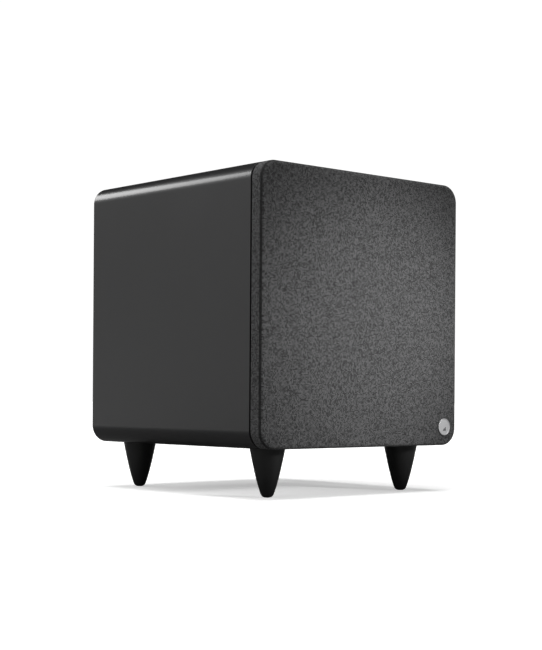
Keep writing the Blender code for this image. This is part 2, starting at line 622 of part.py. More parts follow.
def make_knob(name, x):
    """A potentiometer behind the plate and its knob outside, turning on one axis."""
    axis = back_axis(f"{name}_axis", x, KNOB_Z)
    behind = -PLATE_THICKNESS - FIT
    bushing, bore, shaft = 4.6 * MM, 3.4 * MM, 3 * MM
    turned(f"{name}_pot",
           [(bore, 1.5 * MM), (bushing, 1.5 * MM), (bushing, behind), (8.5 * MM, behind),
            (8.5 * MM, behind - 9 * MM), (0, behind - 9 * MM), (0, behind - 6 * MM),
            (bore, behind - 6 * MM)],
           "zinc_steel", SMALL_STEPS, parent=axis)
    reach = CONTROLS_PROUD + BACK_INSET
    skirt, crown = 2 * MM, 1 * MM
    knob = turned(f"{name}_knob",
                  [(0, reach), (KNOB_RADIUS - 2 * crown, reach), (KNOB_RADIUS - crown, reach - crown),
                   (KNOB_RADIUS - 0.6 * MM, 4 * MM), (KNOB_RADIUS, 3 * MM), (KNOB_RADIUS, skirt),
                   (shaft, skirt), (shaft, behind - 5 * MM), (0, behind - 5 * MM)],
                  "moulded_black", MIDDLE_STEPS, parent=axis)
    cut(knob, cutter(f"{name}_pointer_slot", lambda bm: add_box(
        bm, (1 * MM, KNOB_RADIUS, 2 * MM), (0, 2 * MM - KNOB_RADIUS, reach)), parent=axis))


def make_slide_switch(name, x, travel):
    """A slide switch: its body behind the plate and its slider through the plate's slot."""
    axis = back_axis(f"{name}_axis", x, SLIDER_Z)
    behind = -PLATE_THICKNESS - FIT
    nub, depth = 4 * MM, 7 * MM
    body = mesh_object(f"{name}_switch", lambda bm: add_box(
        bm, (18 * MM, 9 * MM, depth), (0, 0, behind - depth / 2)), "zinc_steel", parent=axis)
    cut(body, cutter(f"{name}_pocket", lambda bm: add_box(
        bm, (nub + travel + 1.2 * MM, nub + 1 * MM, 8 * MM), (0, 0, behind - 0.5 * MM)),
        parent=axis))
    start = -travel / 2
    mesh_object(f"{name}_slider", lambda bm: add_box(
        bm, (nub, nub, 8 * MM), (start, 0, 1.2 * MM - 4 * MM + 1 * MM)),
        "moulded_black", parent=axis)


def make_power_switch():
    """A rocker switch: a bezel and housing, and a rocker on a level axis."""
    axis = back_axis("power_axis", ROCKER_X, MAINS_Z)
    flange, deep = 2 * MM, 16 * MM
    body = mesh_object("power_switch", lambda bm: add_box(
        bm, (17 * MM, 25 * MM, flange), (0, 0, FIT + flange / 2)), "moulded_black", parent=axis)
    cut(body, cutter("power_housing", lambda bm: add_box(
        bm, (15 * MM, 22.4 * MM, deep), (0, 0, FIT + 1 * MM - deep / 2)), parent=axis), "UNION")
    cut(body, cutter("power_well", lambda bm: add_box(
        bm, (12.8 * MM, 20.4 * MM, 24 * MM), (0, 0, FIT + flange + 10 * MM - 12 * MM - 2 * MM)),
        parent=axis))

    pivot = 0.5 * MM
    radius, rise = 9.6 * MM, 3.6 * MM
    tip = math.degrees(math.asin(rise / radius))
    side = arc((0, 0), radius, tip, -180 - tip, 16) + [(0, rise - 1.3 * MM)]
    rocker = outlined("power_rocker", [side], 12 * MM, "moulded_black", parent=axis)
    # The outline's x becomes the world's height, its y points out of the plate.
    rocker.data.transform(Matrix.Rotation(math.radians(90), 4, "Z") @ Matrix.Rotation(
        math.radians(90), 4, "X"))
    rocker.location = (0, 0, pivot)
    rocker.rotation_euler = (ROCKER_TILT, 0, 0)


def make_power_inlet():
    """A three-pin mains inlet, open towards the back."""
    axis = back_axis("inlet_axis", INLET_X, MAINS_Z)
    flange, deep = 2.5 * MM, 24 * MM
    inlet = mesh_object("power_inlet", lambda bm: add_box(
        bm, (32 * MM, 28 * MM, flange), (0, 0, FIT + flange / 2)), "moulded_black", parent=axis)
    cut(inlet, cutter("inlet_housing", lambda bm: add_box(
        bm, (29 * MM, 22 * MM, deep), (0, 0, FIT + 1 * MM - deep / 2)), parent=axis), "UNION")
    cut(inlet, cutter("inlet_well", lambda bm: add_box(
        bm, (24.6 * MM, 17.6 * MM, 20 * MM), (0, 0, FIT + flange - 7 * MM)), parent=axis))

    def pins(bm):
        for x, y in ((-7 * MM, -2 * MM), (7 * MM, -2 * MM), (0, 2 * MM)):
            add_box(bm, (2 * MM, 4 * MM, 16 * MM), (x, y, -12 * MM))

    cut(inlet, cutter("inlet_pins", pins, parent=axis), "UNION")


def make_input_sockets():
    """One moulded block with two coaxial line sockets."""
    axis = back_axis("jack_axis", sum(JACK_XS) / 2, JACK_Z)
    behind = -PLATE_THICKNESS - FIT
    spread = (JACK_XS[0] - JACK_XS[1]) / 2
    block = mesh_object("input_sockets", lambda bm: add_box(
        bm, (50 * MM, 18 * MM, 12 * MM), (0, 0, behind - 6 * MM)), "moulded_black", parent=axis)

    def stack(radius, low, high, steps):
        def maker(bm):
            for x in (-spread, spread):
                add_cylinder(bm, radius, low, high, (x, 0), steps)
        return maker

    cut(block, cutter("jack_barrels", stack(4.15 * MM, behind - 2 * MM, 9.5 * MM, 20), parent=axis),
        "UNION")
    cut(block, cutter("jack_bores", stack(1.7 * MM, behind - 8 * MM, 12 * MM, 12), parent=axis))


def make_amplifier():
    """The plate with everything that is fixed to it."""
    plate = mesh_object("amp_plate", lambda bm: add_box(
        bm, (2 * PLATE_HALF, PLATE_THICKNESS, 2 * PLATE_HALF),
        (0, PLATE_FACE_Y - PLATE_THICKNESS / 2, CENTRE_Z)), "black_anodised")

    def round_holes(bm):
        through = Matrix.Rotation(math.radians(90), 4, "X")
        holes = [(x, KNOB_Z, 4.9 * MM) for x in (VOLUME_X, CROSSOVER_X)]
        holes += [(x, JACK_Z, 4.6 * MM) for x in JACK_XS]
        holes += [(LED_X, LED_Z, 2.1 * MM), (TRANSFORMER_X, TRANSFORMER_Z, 2.9 * MM)]
        for x, z, radius in holes:
            matrix = Matrix.Translation((x, PLATE_FACE_Y, z)) @ through
            bmesh.ops.create_cone(bm, cap_ends=True, segments=SMALL_STEPS, radius1=radius,
                                  radius2=radius, depth=20 * MM, matrix=matrix)

    def square_holes(bm):
        sizes = [(INLET_X, MAINS_Z, 29.6 * MM, 22.6 * MM), (ROCKER_X, MAINS_Z, 15.6 * MM, 23 * MM),
                 (PHASE_X, SLIDER_Z, 9.4 * MM, 5 * MM), (MODE_X, SLIDER_Z, 9.4 * MM, 5 * MM)]
        for x, z, width, height in sizes:
            add_box(bm, (width, 20 * MM, height), (x, PLATE_FACE_Y, z))

    cut(plate, cutter("plate_round_holes", round_holes))
    cut(plate, cutter("plate_square_holes", square_holes))

    board_y = PLATE_BACK_Y - 26 * MM
    board_low, board_high = CENTRE_Z + 2 * MM, CENTRE_Z + 84 * MM
    board = mesh_object("amp_board", lambda bm: add_box(
        bm, (160 * MM, 1.6 * MM, board_high - board_low),
        (0, board_y, (board_low + board_high) / 2)), "circuit_green")

    def populated(bm):
        lying = Matrix.Rotation(math.radians(90), 4, "X")
        tall = 16 * MM
        for x, z, radius in ((-60, 40, 9), (-38, 40, 9), (-60, 18, 6), (66, 66, 6)):
            matrix = Matrix.Translation((x * MM, board_y - tall / 2, CENTRE_Z + z * MM)) @ lying
            bmesh.ops.create_cone(bm, cap_ends=True, segments=14, radius1=radius * MM,
                                  radius2=radius * MM, depth=tall, matrix=matrix)
        add_box(bm, (18 * MM, 10 * MM, 14 * MM), (-8 * MM, board_y - 5 * MM, CENTRE_Z + 26 * MM))
        standoff_end = PLATE_BACK_Y - FIT
        for x in (-77 * MM, 77 * MM):
            for z in (board_low + 4 * MM, board_high - 4 * MM):
                matrix = Matrix.Translation((x, (board_y + standoff_end) / 2, z)) @ lying
                bmesh.ops.create_cone(bm, cap_ends=True, segments=6, radius1=2.9 * MM,
                                      radius2=2.9 * MM, depth=standoff_end - board_y, matrix=matrix)

    cut(board, cutter("board_components", populated), "UNION")

    # The heatsink lies on the plate between it and the board, fins towards the board.
    sink_front = PLATE_BACK_Y - FIT
    sink = mesh_object("heatsink", lambda bm: add_box(
        bm, (44 * MM, 18 * MM, 30 * MM), (-8 * MM, sink_front - 9 * MM, CENTRE_Z + 26 * MM)),
        "black_anodised")

    def fins(bm):
        for index in range(6):
            x = -8 * MM + (index - 2.5) * 7 * MM
            add_box(bm, (4 * MM, 15 * MM, 40 * MM), (x, sink_front - 14 * MM, CENTRE_Z + 26 * MM))

    cut(sink, cutter("heatsink_slots", fins))

    axis = axis_empty("transformer_axis", (TRANSFORMER_X, PLATE_BACK_Y - FIT, TRANSFORMER_Z),
                      (math.radians(90), 0, 0))
    height, side, bolt = 32 * MM, 6 * MM, 2.5 * MM
    turned("transformer",
           [(0, -4.8 * MM), (bolt, -4.8 * MM), (bolt, 0), (38 * MM, 0)]
           + arc((38 * MM, side), side, -60, 0, 2)
           + arc((38 * MM, height - side), side, 0, 90, 3)
           + [(20 * MM, height), (15 * MM, height - 2.5 * MM), (0, height - 2.5 * MM)],
           "copper", MIDDLE_STEPS, parent=axis)

    led = back_axis("led_axis", LED_X, LED_Z)
    turned("status_led", [(0, 2.2 * MM), (1.1 * MM, 1.9 * MM), (1.7 * MM, 1 * MM),
                          (1.8 * MM, -8 * MM), (0, -8 * MM)], "led_blue", 12, parent=led)
    make_knob("volume", VOLUME_X)
    make_knob("crossover", CROSSOVER_X)
    make_slide_switch("phase", PHASE_X, PHASE_TRAVEL)
    make_slide_switch("mode", MODE_X, PHASE_TRAVEL)
    make_power_switch()
    make_power_inlet()
    make_input_sockets()


# ---- wiring and wadding ----------------------------------------------------------------------
def smooth_route(points, spacing):
    """Catmull-Rom points through the given ones, about spacing apart."""
    ends = [points[0] * 2 - points[1]] + points + [points[-1] * 2 - points[-2]]
    route = []
    for a, b, c, d in zip(ends, ends[1:], ends[2:], ends[3:]):
        count = max(2, round((c - b).length / spacing))
        for step in range(count):
            t = step / count
            route.append(0.5 * (2 * b + (c - a) * t + (2 * a - 5 * b + 4 * c - d) * t ** 2
                                + (3 * b - a - 3 * c + d) * t ** 3))
    return route + [points[-1]]


def make_lead():
    """The twin lead from the amplifier board to the woofer's terminals, along the right wall."""
    radius = 2.2 * MM
    board_face = PLATE_BACK_Y - 26 * MM - 0.8 * MM - FIT
    route = [(74, -0.5, 46), (74, -9, 46), (80, -24, 47), (91, -42, 54), (96.5, -57, 60),
             (96.5, -69, 61), (93, -92, 53), (84, -118, 47), (73, -144, 49), (65, -161, 56),
             (61, -171, 61)]
    points = [Vector((x * MM, board_face + y * MM, CENTRE_Z + z * MM)) for x, y, z in route]
    curve = bpy.data.curves.new("speaker_lead", "CURVE")
    curve.dimensions = "3D"
    curve.bevel_depth = radius
    curve.bevel_resolution = 2
    curve.use_fill_caps = True
    spline = curve.splines.new("POLY")
    route = smooth_route(points, 9 * MM)
    spline.points.add(len(route) - 1)
    for target, point in zip(spline.points, route):
        target.co = (*point, 1)
    place(bpy.data.objects.new("speaker_lead", curve), "black_rubber")


def make_terminals():
    """The block on the basket's upper right rib that the lead is soldered to."""
    turn = axis_empty("terminal_axis", (0, CABINET_FRONT_Y + 55 * MM, CENTRE_Z),
                      (0, math.radians(-45), 0))
    block = mesh_object("woofer_terminals", lambda bm: add_box(
        bm, (7 * MM, 12 * MM, 20 * MM), (81.6 * MM, 0, 0)), "moulded_black", parent=turn)

    def lugs(bm):
        for z in (-6 * MM, 6 * MM):
            add_box(bm, (1 * MM, 10 * MM, 4 * MM), (82 * MM, 8 * MM, z))

    cut(block, cutter("terminal_lugs", lugs, parent=turn), "UNION")


def make_wadding():
    """One blanket of wadding over the top and both sides, ahead of the brace."""
    thickness, gap = 12 * MM, 0.5 * MM
    front = CABINET_FRONT_Y + BAFFLE_THICKNESS + 1 * MM
    back = 41 * MM - 6 * MM - 1 * MM
    half, low, high = INNER_HALF - gap, FLOOR_TOP_Z + 18 * MM, INNER_TOP_Z - gap
    outline = rounded_rectangle(half, (high - low) / 2, CORNER_RADIUS - WALL, 2)
    blanket = outlined("wadding", [outline], back - front, "white_wadding", parent=WOOFER_AXIS,
                       location=(0, (low + high) / 2 - CENTRE_Z,
                                 CABINET_FRONT_Y - (front + back) / 2))
    cut(blanket, box_cutter("wadding_hollow",
                            (2 * (half - thickness), 2 * (back - front), high - low),
                            (0, (front + back) / 2, (low + high) / 2 - thickness)))


clear_scene()
PARTS = new_collection("cube_subwoofer")
CUTTERS = new_collection("cutters")
# Local z of the woofer's axis points out of the front, and of the radiator's, down.
WOOFER_AXIS = axis_empty("woofer_axis", (0, CABINET_FRONT_Y, CENTRE_Z), (math.radians(90), 0, 0))
RADIATOR_AXIS = axis_empty("radiator_axis", (0, RADIATOR_Y, BOTTOM_Z), (math.radians(180), 0, 0))
make_cabinet()
make_feet()
make_woofer()
make_radiator()
make_grille()
make_amplifier()
make_terminals()
make_lead()
make_wadding()
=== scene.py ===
"""The looks of a compact cube subwoofer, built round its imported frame.

The frame gives every size and place. This script adds the fine meshes and the finishes, and a
plain studio round the result.
"""

import math

import bmesh
import bpy
from bpy.props import FloatProperty, FloatVectorProperty, IntProperty, PointerProperty
from mathutils import Matrix, Vector, noise


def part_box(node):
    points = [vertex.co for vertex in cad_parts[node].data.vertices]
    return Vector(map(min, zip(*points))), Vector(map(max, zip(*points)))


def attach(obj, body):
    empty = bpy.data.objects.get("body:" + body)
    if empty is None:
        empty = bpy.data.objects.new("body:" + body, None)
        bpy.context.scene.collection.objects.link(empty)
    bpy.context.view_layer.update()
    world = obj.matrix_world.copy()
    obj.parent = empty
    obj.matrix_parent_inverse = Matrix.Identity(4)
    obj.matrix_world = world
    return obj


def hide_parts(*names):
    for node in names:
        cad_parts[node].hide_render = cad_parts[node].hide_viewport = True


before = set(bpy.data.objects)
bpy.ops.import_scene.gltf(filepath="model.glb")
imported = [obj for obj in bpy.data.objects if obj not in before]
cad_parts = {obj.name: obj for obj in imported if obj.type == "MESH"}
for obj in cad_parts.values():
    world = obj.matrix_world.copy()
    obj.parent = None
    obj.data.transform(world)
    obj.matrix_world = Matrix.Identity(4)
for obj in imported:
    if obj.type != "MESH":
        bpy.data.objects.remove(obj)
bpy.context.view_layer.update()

bl_info = {
    "name": "Cube Subwoofer",
    "version": (1, 0, 0),
    "blender": (4, 5, 0),
    "location": "View3D > Sidebar > Subwoofer",
    "description": "Builds the looks of a compact cube subwoofer round its frame",
    "category": "Add Mesh",
}

MM = 0.001
TINY = 0.00002
WHOLE_TURN = 2 * math.pi

# Local z of each of these looks out of the side it is named for, and local y is up in the
# first two.
LOOK_FRONT = Matrix.Rotation(math.radians(90), 4, "X")
LOOK_BACK = Matrix.Rotation(math.radians(180), 4, "Z") @ LOOK_FRONT
LOOK_DOWN = Matrix.Rotation(math.radians(180), 4, "X")
LOOK_UP = Matrix.Identity(4)

WRAP_LOW, WRAP_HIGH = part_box("cabinet_wrap")
CENTRE = (WRAP_LOW + WRAP_HIGH) / 2
HALF = (WRAP_HIGH.x - WRAP_LOW.x) / 2
BAFFLE_Y = WRAP_LOW.y
PLATE_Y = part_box("amp_plate")[1].y
DOWN_SEAT = Matrix.Translation((0, CENTRE.y, WRAP_LOW.z)) @ LOOK_DOWN
# The driver and the radiator sit in like holes: a shallow step round a clear opening.
REBATE_RADIUS = 105.5 * MM
CUTOUT_RADIUS = 96 * MM
REBATE_DEPTH = 6 * MM
# The coil and all that is glued to it share this radius.
NECK_RADIUS = 25.9 * MM
# Printed marks stand this far off the plate, from their underside to their face.
PRINT_LOW, PRINT_HIGH = 0.01 * MM, 0.06 * MM
# The room's soft lobes: direction, tightness and power of each.
ROOM_LOBES = (
    ((-0.62, 0.78, -0.03), 17.0, 0.44),
    ((-1.0, 0.0, 0.35), 8.0, 2.0),
    ((0.76, -0.64, 0.0), 10.0, 0.9),
    ((1.0, -0.15, 0.25), 8.0, 0.5),
)


# ---- settings -------------------------------------------------------------------------------
class SubwooferSizes(bpy.types.PropertyGroup):
    corner_radius: FloatProperty(
        name="Corner radius", description="Rounding of the cabinet's four long edges",
        default=18.5 * MM, unit="LENGTH")
    corner_segments: IntProperty(
        name="Corner segments", description="Steps in each rounded long edge", default=20)
    wall: FloatProperty(
        name="Wall", description="Thickness of the cabinet's boards",
        default=15 * MM, unit="LENGTH")
    back_round: FloatProperty(
        name="Back edge", description="Rounding of the cabinet's back edge",
        default=2.3 * MM, unit="LENGTH")
    cloth_thickness: FloatProperty(
        name="Cloth thickness", description="Thickness of the grille cloth",
        default=0.8 * MM, unit="LENGTH")
    cloth_fold: FloatProperty(
        name="Cloth fold", description="Rounding of the cloth round the grille's front edge",
        default=3.5 * MM, unit="LENGTH")
    hem: FloatProperty(
        name="Hem", description="How far the cloth is turned in behind the grille's frame",
        default=12 * MM, unit="LENGTH")
    thread_pitch: FloatProperty(
        name="Thread pitch", description="Distance between two threads of the grille cloth",
        default=1.1 * MM, unit="LENGTH")


class SubwooferColours(bpy.types.PropertyGroup):
    lacquer: FloatVectorProperty(
        name="Lacquer", description="Satin black of the cabinet", subtype="COLOR",
        default=(0.011, 0.011, 0.0115))
    cloth: FloatVectorProperty(
        name="Cloth", description="Light threads of the grille cloth", subtype="COLOR",
        default=(0.135, 0.135, 0.137))
    cloth_gaps: FloatVectorProperty(
        name="Cloth gaps", description="Shadow between the threads of the grille cloth",
        subtype="COLOR", default=(0.006, 0.006, 0.0062))
    feet: FloatVectorProperty(
        name="Feet", description="Satin black of the cone feet", subtype="COLOR",
        default=(0.008, 0.008, 0.008))
    badge: FloatVectorProperty(
        name="Badge", description="Brushed silver of the badge", subtype="COLOR",
        default=(0.44, 0.44, 0.445))
    plastic: FloatVectorProperty(
        name="Plastic", description="Moulded black plastic", subtype="COLOR",
        default=(0.016, 0.016, 0.017))
    legend: FloatVectorProperty(
        name="Legend", description="Printed marks on the amplifier plate", subtype="COLOR",
        default=(0.62, 0.62, 0.60))


class SubwooferStudio(bpy.types.PropertyGroup):
    key: FloatProperty(
        name="Back left softbox", description="Power of the softbox that draws the top edge",
        default=9.2, unit="POWER")
    side: FloatProperty(
        name="Front spot", description="Power of the soft spot that lights the cloth",
        default=33, unit="POWER")
    top: FloatProperty(
        name="Overhead", description="Strength of the broad light over the floor", default=2.4)
    ambient: FloatProperty(
        name="Ambient", description="Strength of the even light from all round", default=0.007)


# ---- shader recipes ---------------------------------------------------------------------------
class Wire:
    """A shader socket with arithmetic: each operator adds one Math node."""

    def __init__(self, recipe, socket):
        self.recipe = recipe
        self.socket = socket

    def math(self, operation, *others):
        return self.recipe.node("ShaderNodeMath", {"operation": operation},
                                dict(enumerate((self, *others))))

    def __add__(self, other):
        return self.math("ADD", other)

    __radd__ = __add__

    def __mul__(self, other):
        return self.math("MULTIPLY", other)

    __rmul__ = __mul__

    def __sub__(self, other):
        return self.math("SUBTRACT", other)

    def __rsub__(self, other):
        return self.recipe.node("ShaderNodeMath", {"operation": "SUBTRACT"}, {0: other, 1: self})

    def __truediv__(self, other):
        return self.math("DIVIDE", other)

    def __pow__(self, other):
        return self.math("POWER", other)

    def __abs__(self):
        return self.math("ABSOLUTE")

    def sine(self):
        return self.math("SINE")

    def clamped(self):
        return self.recipe.node("ShaderNodeClamp", {}, {"Value": self})

    def step(self, low, high):
        """0 below low and 1 above high, with a smooth rise between."""
        return self.recipe.node("ShaderNodeMapRange", {"interpolation_type": "SMOOTHSTEP"},
                                {"Value": self, "From Min": low, "From Max": high})


class Recipe:
    """One procedural finish on a Principled shader."""

    def __init__(self, name, **constants):
        self.material = bpy.data.materials.new(name)
        self.material.use_nodes = True
        self.tree = self.material.node_tree
        self.shader = self.tree.nodes["Principled BSDF"]
        for socket, value in constants.items():
            self.shader.inputs[socket.replace("_", " ")].default_value = value

    @classmethod
    def on(cls, tree):
        """A recipe that only adds nodes to a tree that is there already."""
        recipe = cls.__new__(cls)
        recipe.tree = tree
        return recipe

    def node(self, kind, settings, values, output=0):
        """Adds a node, sets it up, and feeds its sockets with numbers, colours or wires."""
        node = self.tree.nodes.new(kind)
        for name, value in settings.items():
            if name == "stops":
                ramp = node.color_ramp
                while len(ramp.elements) < len(value):
                    ramp.elements.new(0.5)
                for element, (position, colour) in zip(ramp.elements, value):
                    element.position = position
                    element.color = colour
            else:
                setattr(node, name, value)
        for name, value in values.items():
            if isinstance(value, Wire):
                self.tree.links.new(value.socket, node.inputs[name])
            else:
                node.inputs[name].default_value = value
        return Wire(self, node.outputs[output])

    def drive(self, socket, wire):
        self.tree.links.new(wire.socket, self.shader.inputs[socket])

    def place(self):
        return self.node("ShaderNodeTexCoord", {}, {}, "Object")

    def axes(self, vector):
        """The x, y and z of a vector as three wires."""
        return [self.node("ShaderNodeSeparateXYZ", {}, {"Vector": vector}, axis) for axis in "XYZ"]

    def noise(self, vector, scale, detail=3.0, roughness=0.55):
        return self.node("ShaderNodeTexNoise", {},
                         {"Vector": vector, "Scale": scale, "Detail": detail,
                          "Roughness": roughness}, 0)

    def stretched(self, vector, scale):
        return self.node("ShaderNodeMapping", {}, {"Vector": vector, "Scale": scale})

    def mix(self, factor, first, second):
        return self.node("ShaderNodeMix", {"data_type": "RGBA"},
                         {"Factor": factor, 6: first, 7: second}, 2)

    def bump(self, height, distance, strength=1.0):
        self.drive("Normal", self.node("ShaderNodeBump", {}, {
            "Height": height, "Distance": distance, "Strength": strength}))


def solid(colour):
    return (*colour, 1.0)


def shade(colour, factor):
    return (*(channel * factor for channel in colour), 1.0)


def grained(name, colour, roughness, scale, depth, spread=0.25, metallic=0.0, uneven=0.12,
            **constants):
    """A moulded, cast or painted surface: fine grain, slow patches, uneven sheen."""
    recipe = Recipe(name, Metallic=metallic, **constants)
    place = recipe.place()
    grain = recipe.noise(place, scale)
    patches = recipe.noise(place, 9.0, 2.0)
    recipe.drive("Base Color", recipe.mix(grain * spread + patches * (1 - spread),
                                          shade(colour, 1 - spread), shade(colour, 1 + spread)))
    recipe.drive("Roughness", roughness - uneven / 2 + patches * uneven + grain * (uneven / 3))
    recipe.bump(grain, depth)
    return recipe.material


def lacquer(colours):
    """Sprayed satin black: a faint orange peel and the lightest handling marks."""
    recipe = Recipe("satin_black_lacquer", Coat_Weight=0.35, Coat_Roughness=0.16,
                    Specular_IOR_Level=0.5)
    place = recipe.place()
    peel = recipe.noise(place, 420.0, 1.0)
    haze = recipe.noise(place, 11.0, 3.0)
    specks = recipe.noise(place, 1900.0, 1.0).step(0.66, 0.75)
    recipe.drive("Base Color", recipe.mix(specks * 0.35 + haze * 0.2, solid(colours.lacquer),
                                          shade(colours.lacquer, 2.2)))
    recipe.drive("Roughness", 0.31 + haze * 0.08)
    recipe.bump(peel, 0.000012)
    return recipe.material


def woven(name, thread, gaps, pitch, roughness=0.9, depth=0.00025, edge=None, uv="threads"):
    """Plain weave on the piece's own thread map. edge names an attribute that darkens it with
    painted shade.
    """
    recipe = Recipe(name, Sheen_Weight=0.1, Sheen_Roughness=0.5, Specular_IOR_Level=0.2)
    flat = recipe.node("ShaderNodeUVMap", {"uv_map": uv}, {})
    wander = recipe.noise(flat, 130.0, 2.0)
    across, along, _ = recipe.axes(flat)
    warp = (across / pitch + wander * 0.6) * math.pi
    weft = (along / pitch + wander * 0.6) * math.pi
    over = (warp.sine() * weft.sine()).step(-0.3, 0.3)
    height = over * abs(warp.sine()) + (1 - over) * abs(weft.sine()) * 0.6
    crossings = recipe.node("ShaderNodeVectorMath", {"operation": "SNAP"},
                            {0: flat, 1: (1.25 * pitch, 1.1 * pitch, 1.0)})
    yarn = recipe.node("ShaderNodeTexWhiteNoise", {}, {"Vector": crossings})
    fuzz = recipe.noise(flat, 2600.0, 2.0)
    mottle = recipe.noise(flat, 210.0, 2.0)
    # Where the threads dip, the tone falls towards gaps: painted shade between the threads.
    tone = (height * 0.45 + yarn * 0.62 + fuzz * 0.2 + mottle * 0.3 - 0.42).clamped()
    # The edge attribute paints shade into the tone, darkening it by up to four fifths.
    if edge:
        stretch = recipe.node("ShaderNodeAttribute", {"attribute_name": edge}, {}, "Fac")
        tone = tone * (1 - stretch * 0.8)
    recipe.drive("Base Color", recipe.mix(tone, solid(gaps), solid(thread)))
    recipe.drive("Roughness", roughness - fuzz * 0.1)
    recipe.bump(height + fuzz * 0.5, depth)
    return recipe.material


def brushed(name, colour, roughness, stretch=(1.0, 40.0, 1.0), scale=900.0, depth=0.00001,
            **constants):
    """Metal with fine parallel lines along one axis."""
    recipe = Recipe(name, Metallic=1.0, **constants)
    place = recipe.place()
    lines = recipe.noise(recipe.stretched(place, stretch), scale, 2.0)
    haze = recipe.noise(place, 60.0, 2.0)
    recipe.drive("Base Color", recipe.mix(lines * 0.6 + haze * 0.4, shade(colour, 0.82),
                                          shade(colour, 1.12)))
    recipe.drive("Roughness", roughness + lines * 0.12 + haze * 0.05)
    recipe.bump(lines, depth)
    return recipe.material


def wound(name, colour, pitch, axis, roughness=0.3, metallic=1.0):
    """Enamelled wire or thread wound in close turns along one axis, with painted shade in the
    grooves between the turns.
    """
    recipe = Recipe(name, Metallic=metallic)
    place = recipe.place()
    turns = abs((recipe.axes(place)[axis] * (math.pi / pitch)).sine())
    patches = recipe.noise(place, 120.0)
    # Painted shade: the grooves between the turns fall to a third of the colour, and the crests are
    # a little lighter.
    recipe.drive("Base Color", recipe.mix(turns * 0.7 + patches * 0.3, shade(colour, 0.35),
                                          shade(colour, 1.1)))
    recipe.drive("Roughness", roughness + patches * 0.15)
    recipe.bump(turns, pitch * 0.4)
    return recipe.material


def fibrous(name, colour, stretch=(1.0, 1.0, 1.0), scale=700.0, depth=0.00015, spread=0.35):
    """Pulp, felt or wadding: short tangled fibres."""
    recipe = Recipe(name, Specular_IOR_Level=0.3)
    place = recipe.stretched(recipe.place(), stretch)
    fibres = recipe.node("ShaderNodeTexVoronoi", {"feature": "DISTANCE_TO_EDGE"},
                         {"Vector": place, "Scale": scale}).step(0.0, 0.25)
    fuzz = recipe.noise(place, scale * 0.6, 5.0, 0.7)
    recipe.drive("Base Color", recipe.mix(fibres * 0.4 + fuzz * 0.6, shade(colour, 1 - spread),
                                          shade(colour, 1 + spread)))
    recipe.drive("Roughness", 0.78 + fuzz * 0.2)
    recipe.bump(fuzz + fibres * 0.4, depth)
    return recipe.material


def circuit_board():
    """Green solder mask with tracks, and dark sleeves on what stands on the board."""
    recipe = Recipe("circuit_green", Coat_Weight=0.3)
    place = recipe.place()
    x, y, z = recipe.axes(place)
    board_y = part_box("amp_board")[0].y + 16 * MM
    tracks = recipe.node("ShaderNodeTexVoronoi", {"feature": "DISTANCE_TO_EDGE",
                                                  "distance": "CHEBYCHEV"},
                         {"Vector": place, "Scale": 130.0}).step(0.06, 0.09)
    parts = 1 - abs(y - board_y).step(1.0 * MM, 1.6 * MM)
    tops = (board_y - y).step(15.2 * MM, 15.4 * MM)
    mask = recipe.mix(tracks, (0.03, 0.22, 0.09, 1), (0.012, 0.10, 0.04, 1))
    sleeves = recipe.mix(tops, (0.018, 0.02, 0.035, 1), (0.55, 0.55, 0.55, 1))
    recipe.drive("Base Color", recipe.mix(parts, sleeves, mask))
    recipe.drive("Roughness", 0.35 + tracks * 0.15)
    recipe.bump(tracks, 0.00006)
    return recipe.material


def fibreboard():
    """Bare board: fine pressed fibres."""
    return fibrous("raw_fibreboard", (0.30, 0.22, 0.15), scale=1100.0, depth=0.00006, spread=0.18)


def light_lens():
    recipe = Recipe("led_blue", Roughness=0.12, Transmission_Weight=0.3,
                    Emission_Strength=0.6)
    place = recipe.place()
    core = recipe.noise(place, 600.0, 1.0)
    recipe.drive("Base Color", recipe.mix(core, (0.03, 0.16, 0.7, 1), (0.08, 0.3, 0.95, 1)))
    recipe.drive("Emission Color", recipe.mix(core, (0.02, 0.12, 0.6, 1), (0.05, 0.25, 0.9, 1)))
    return recipe.material


MIXED = {}


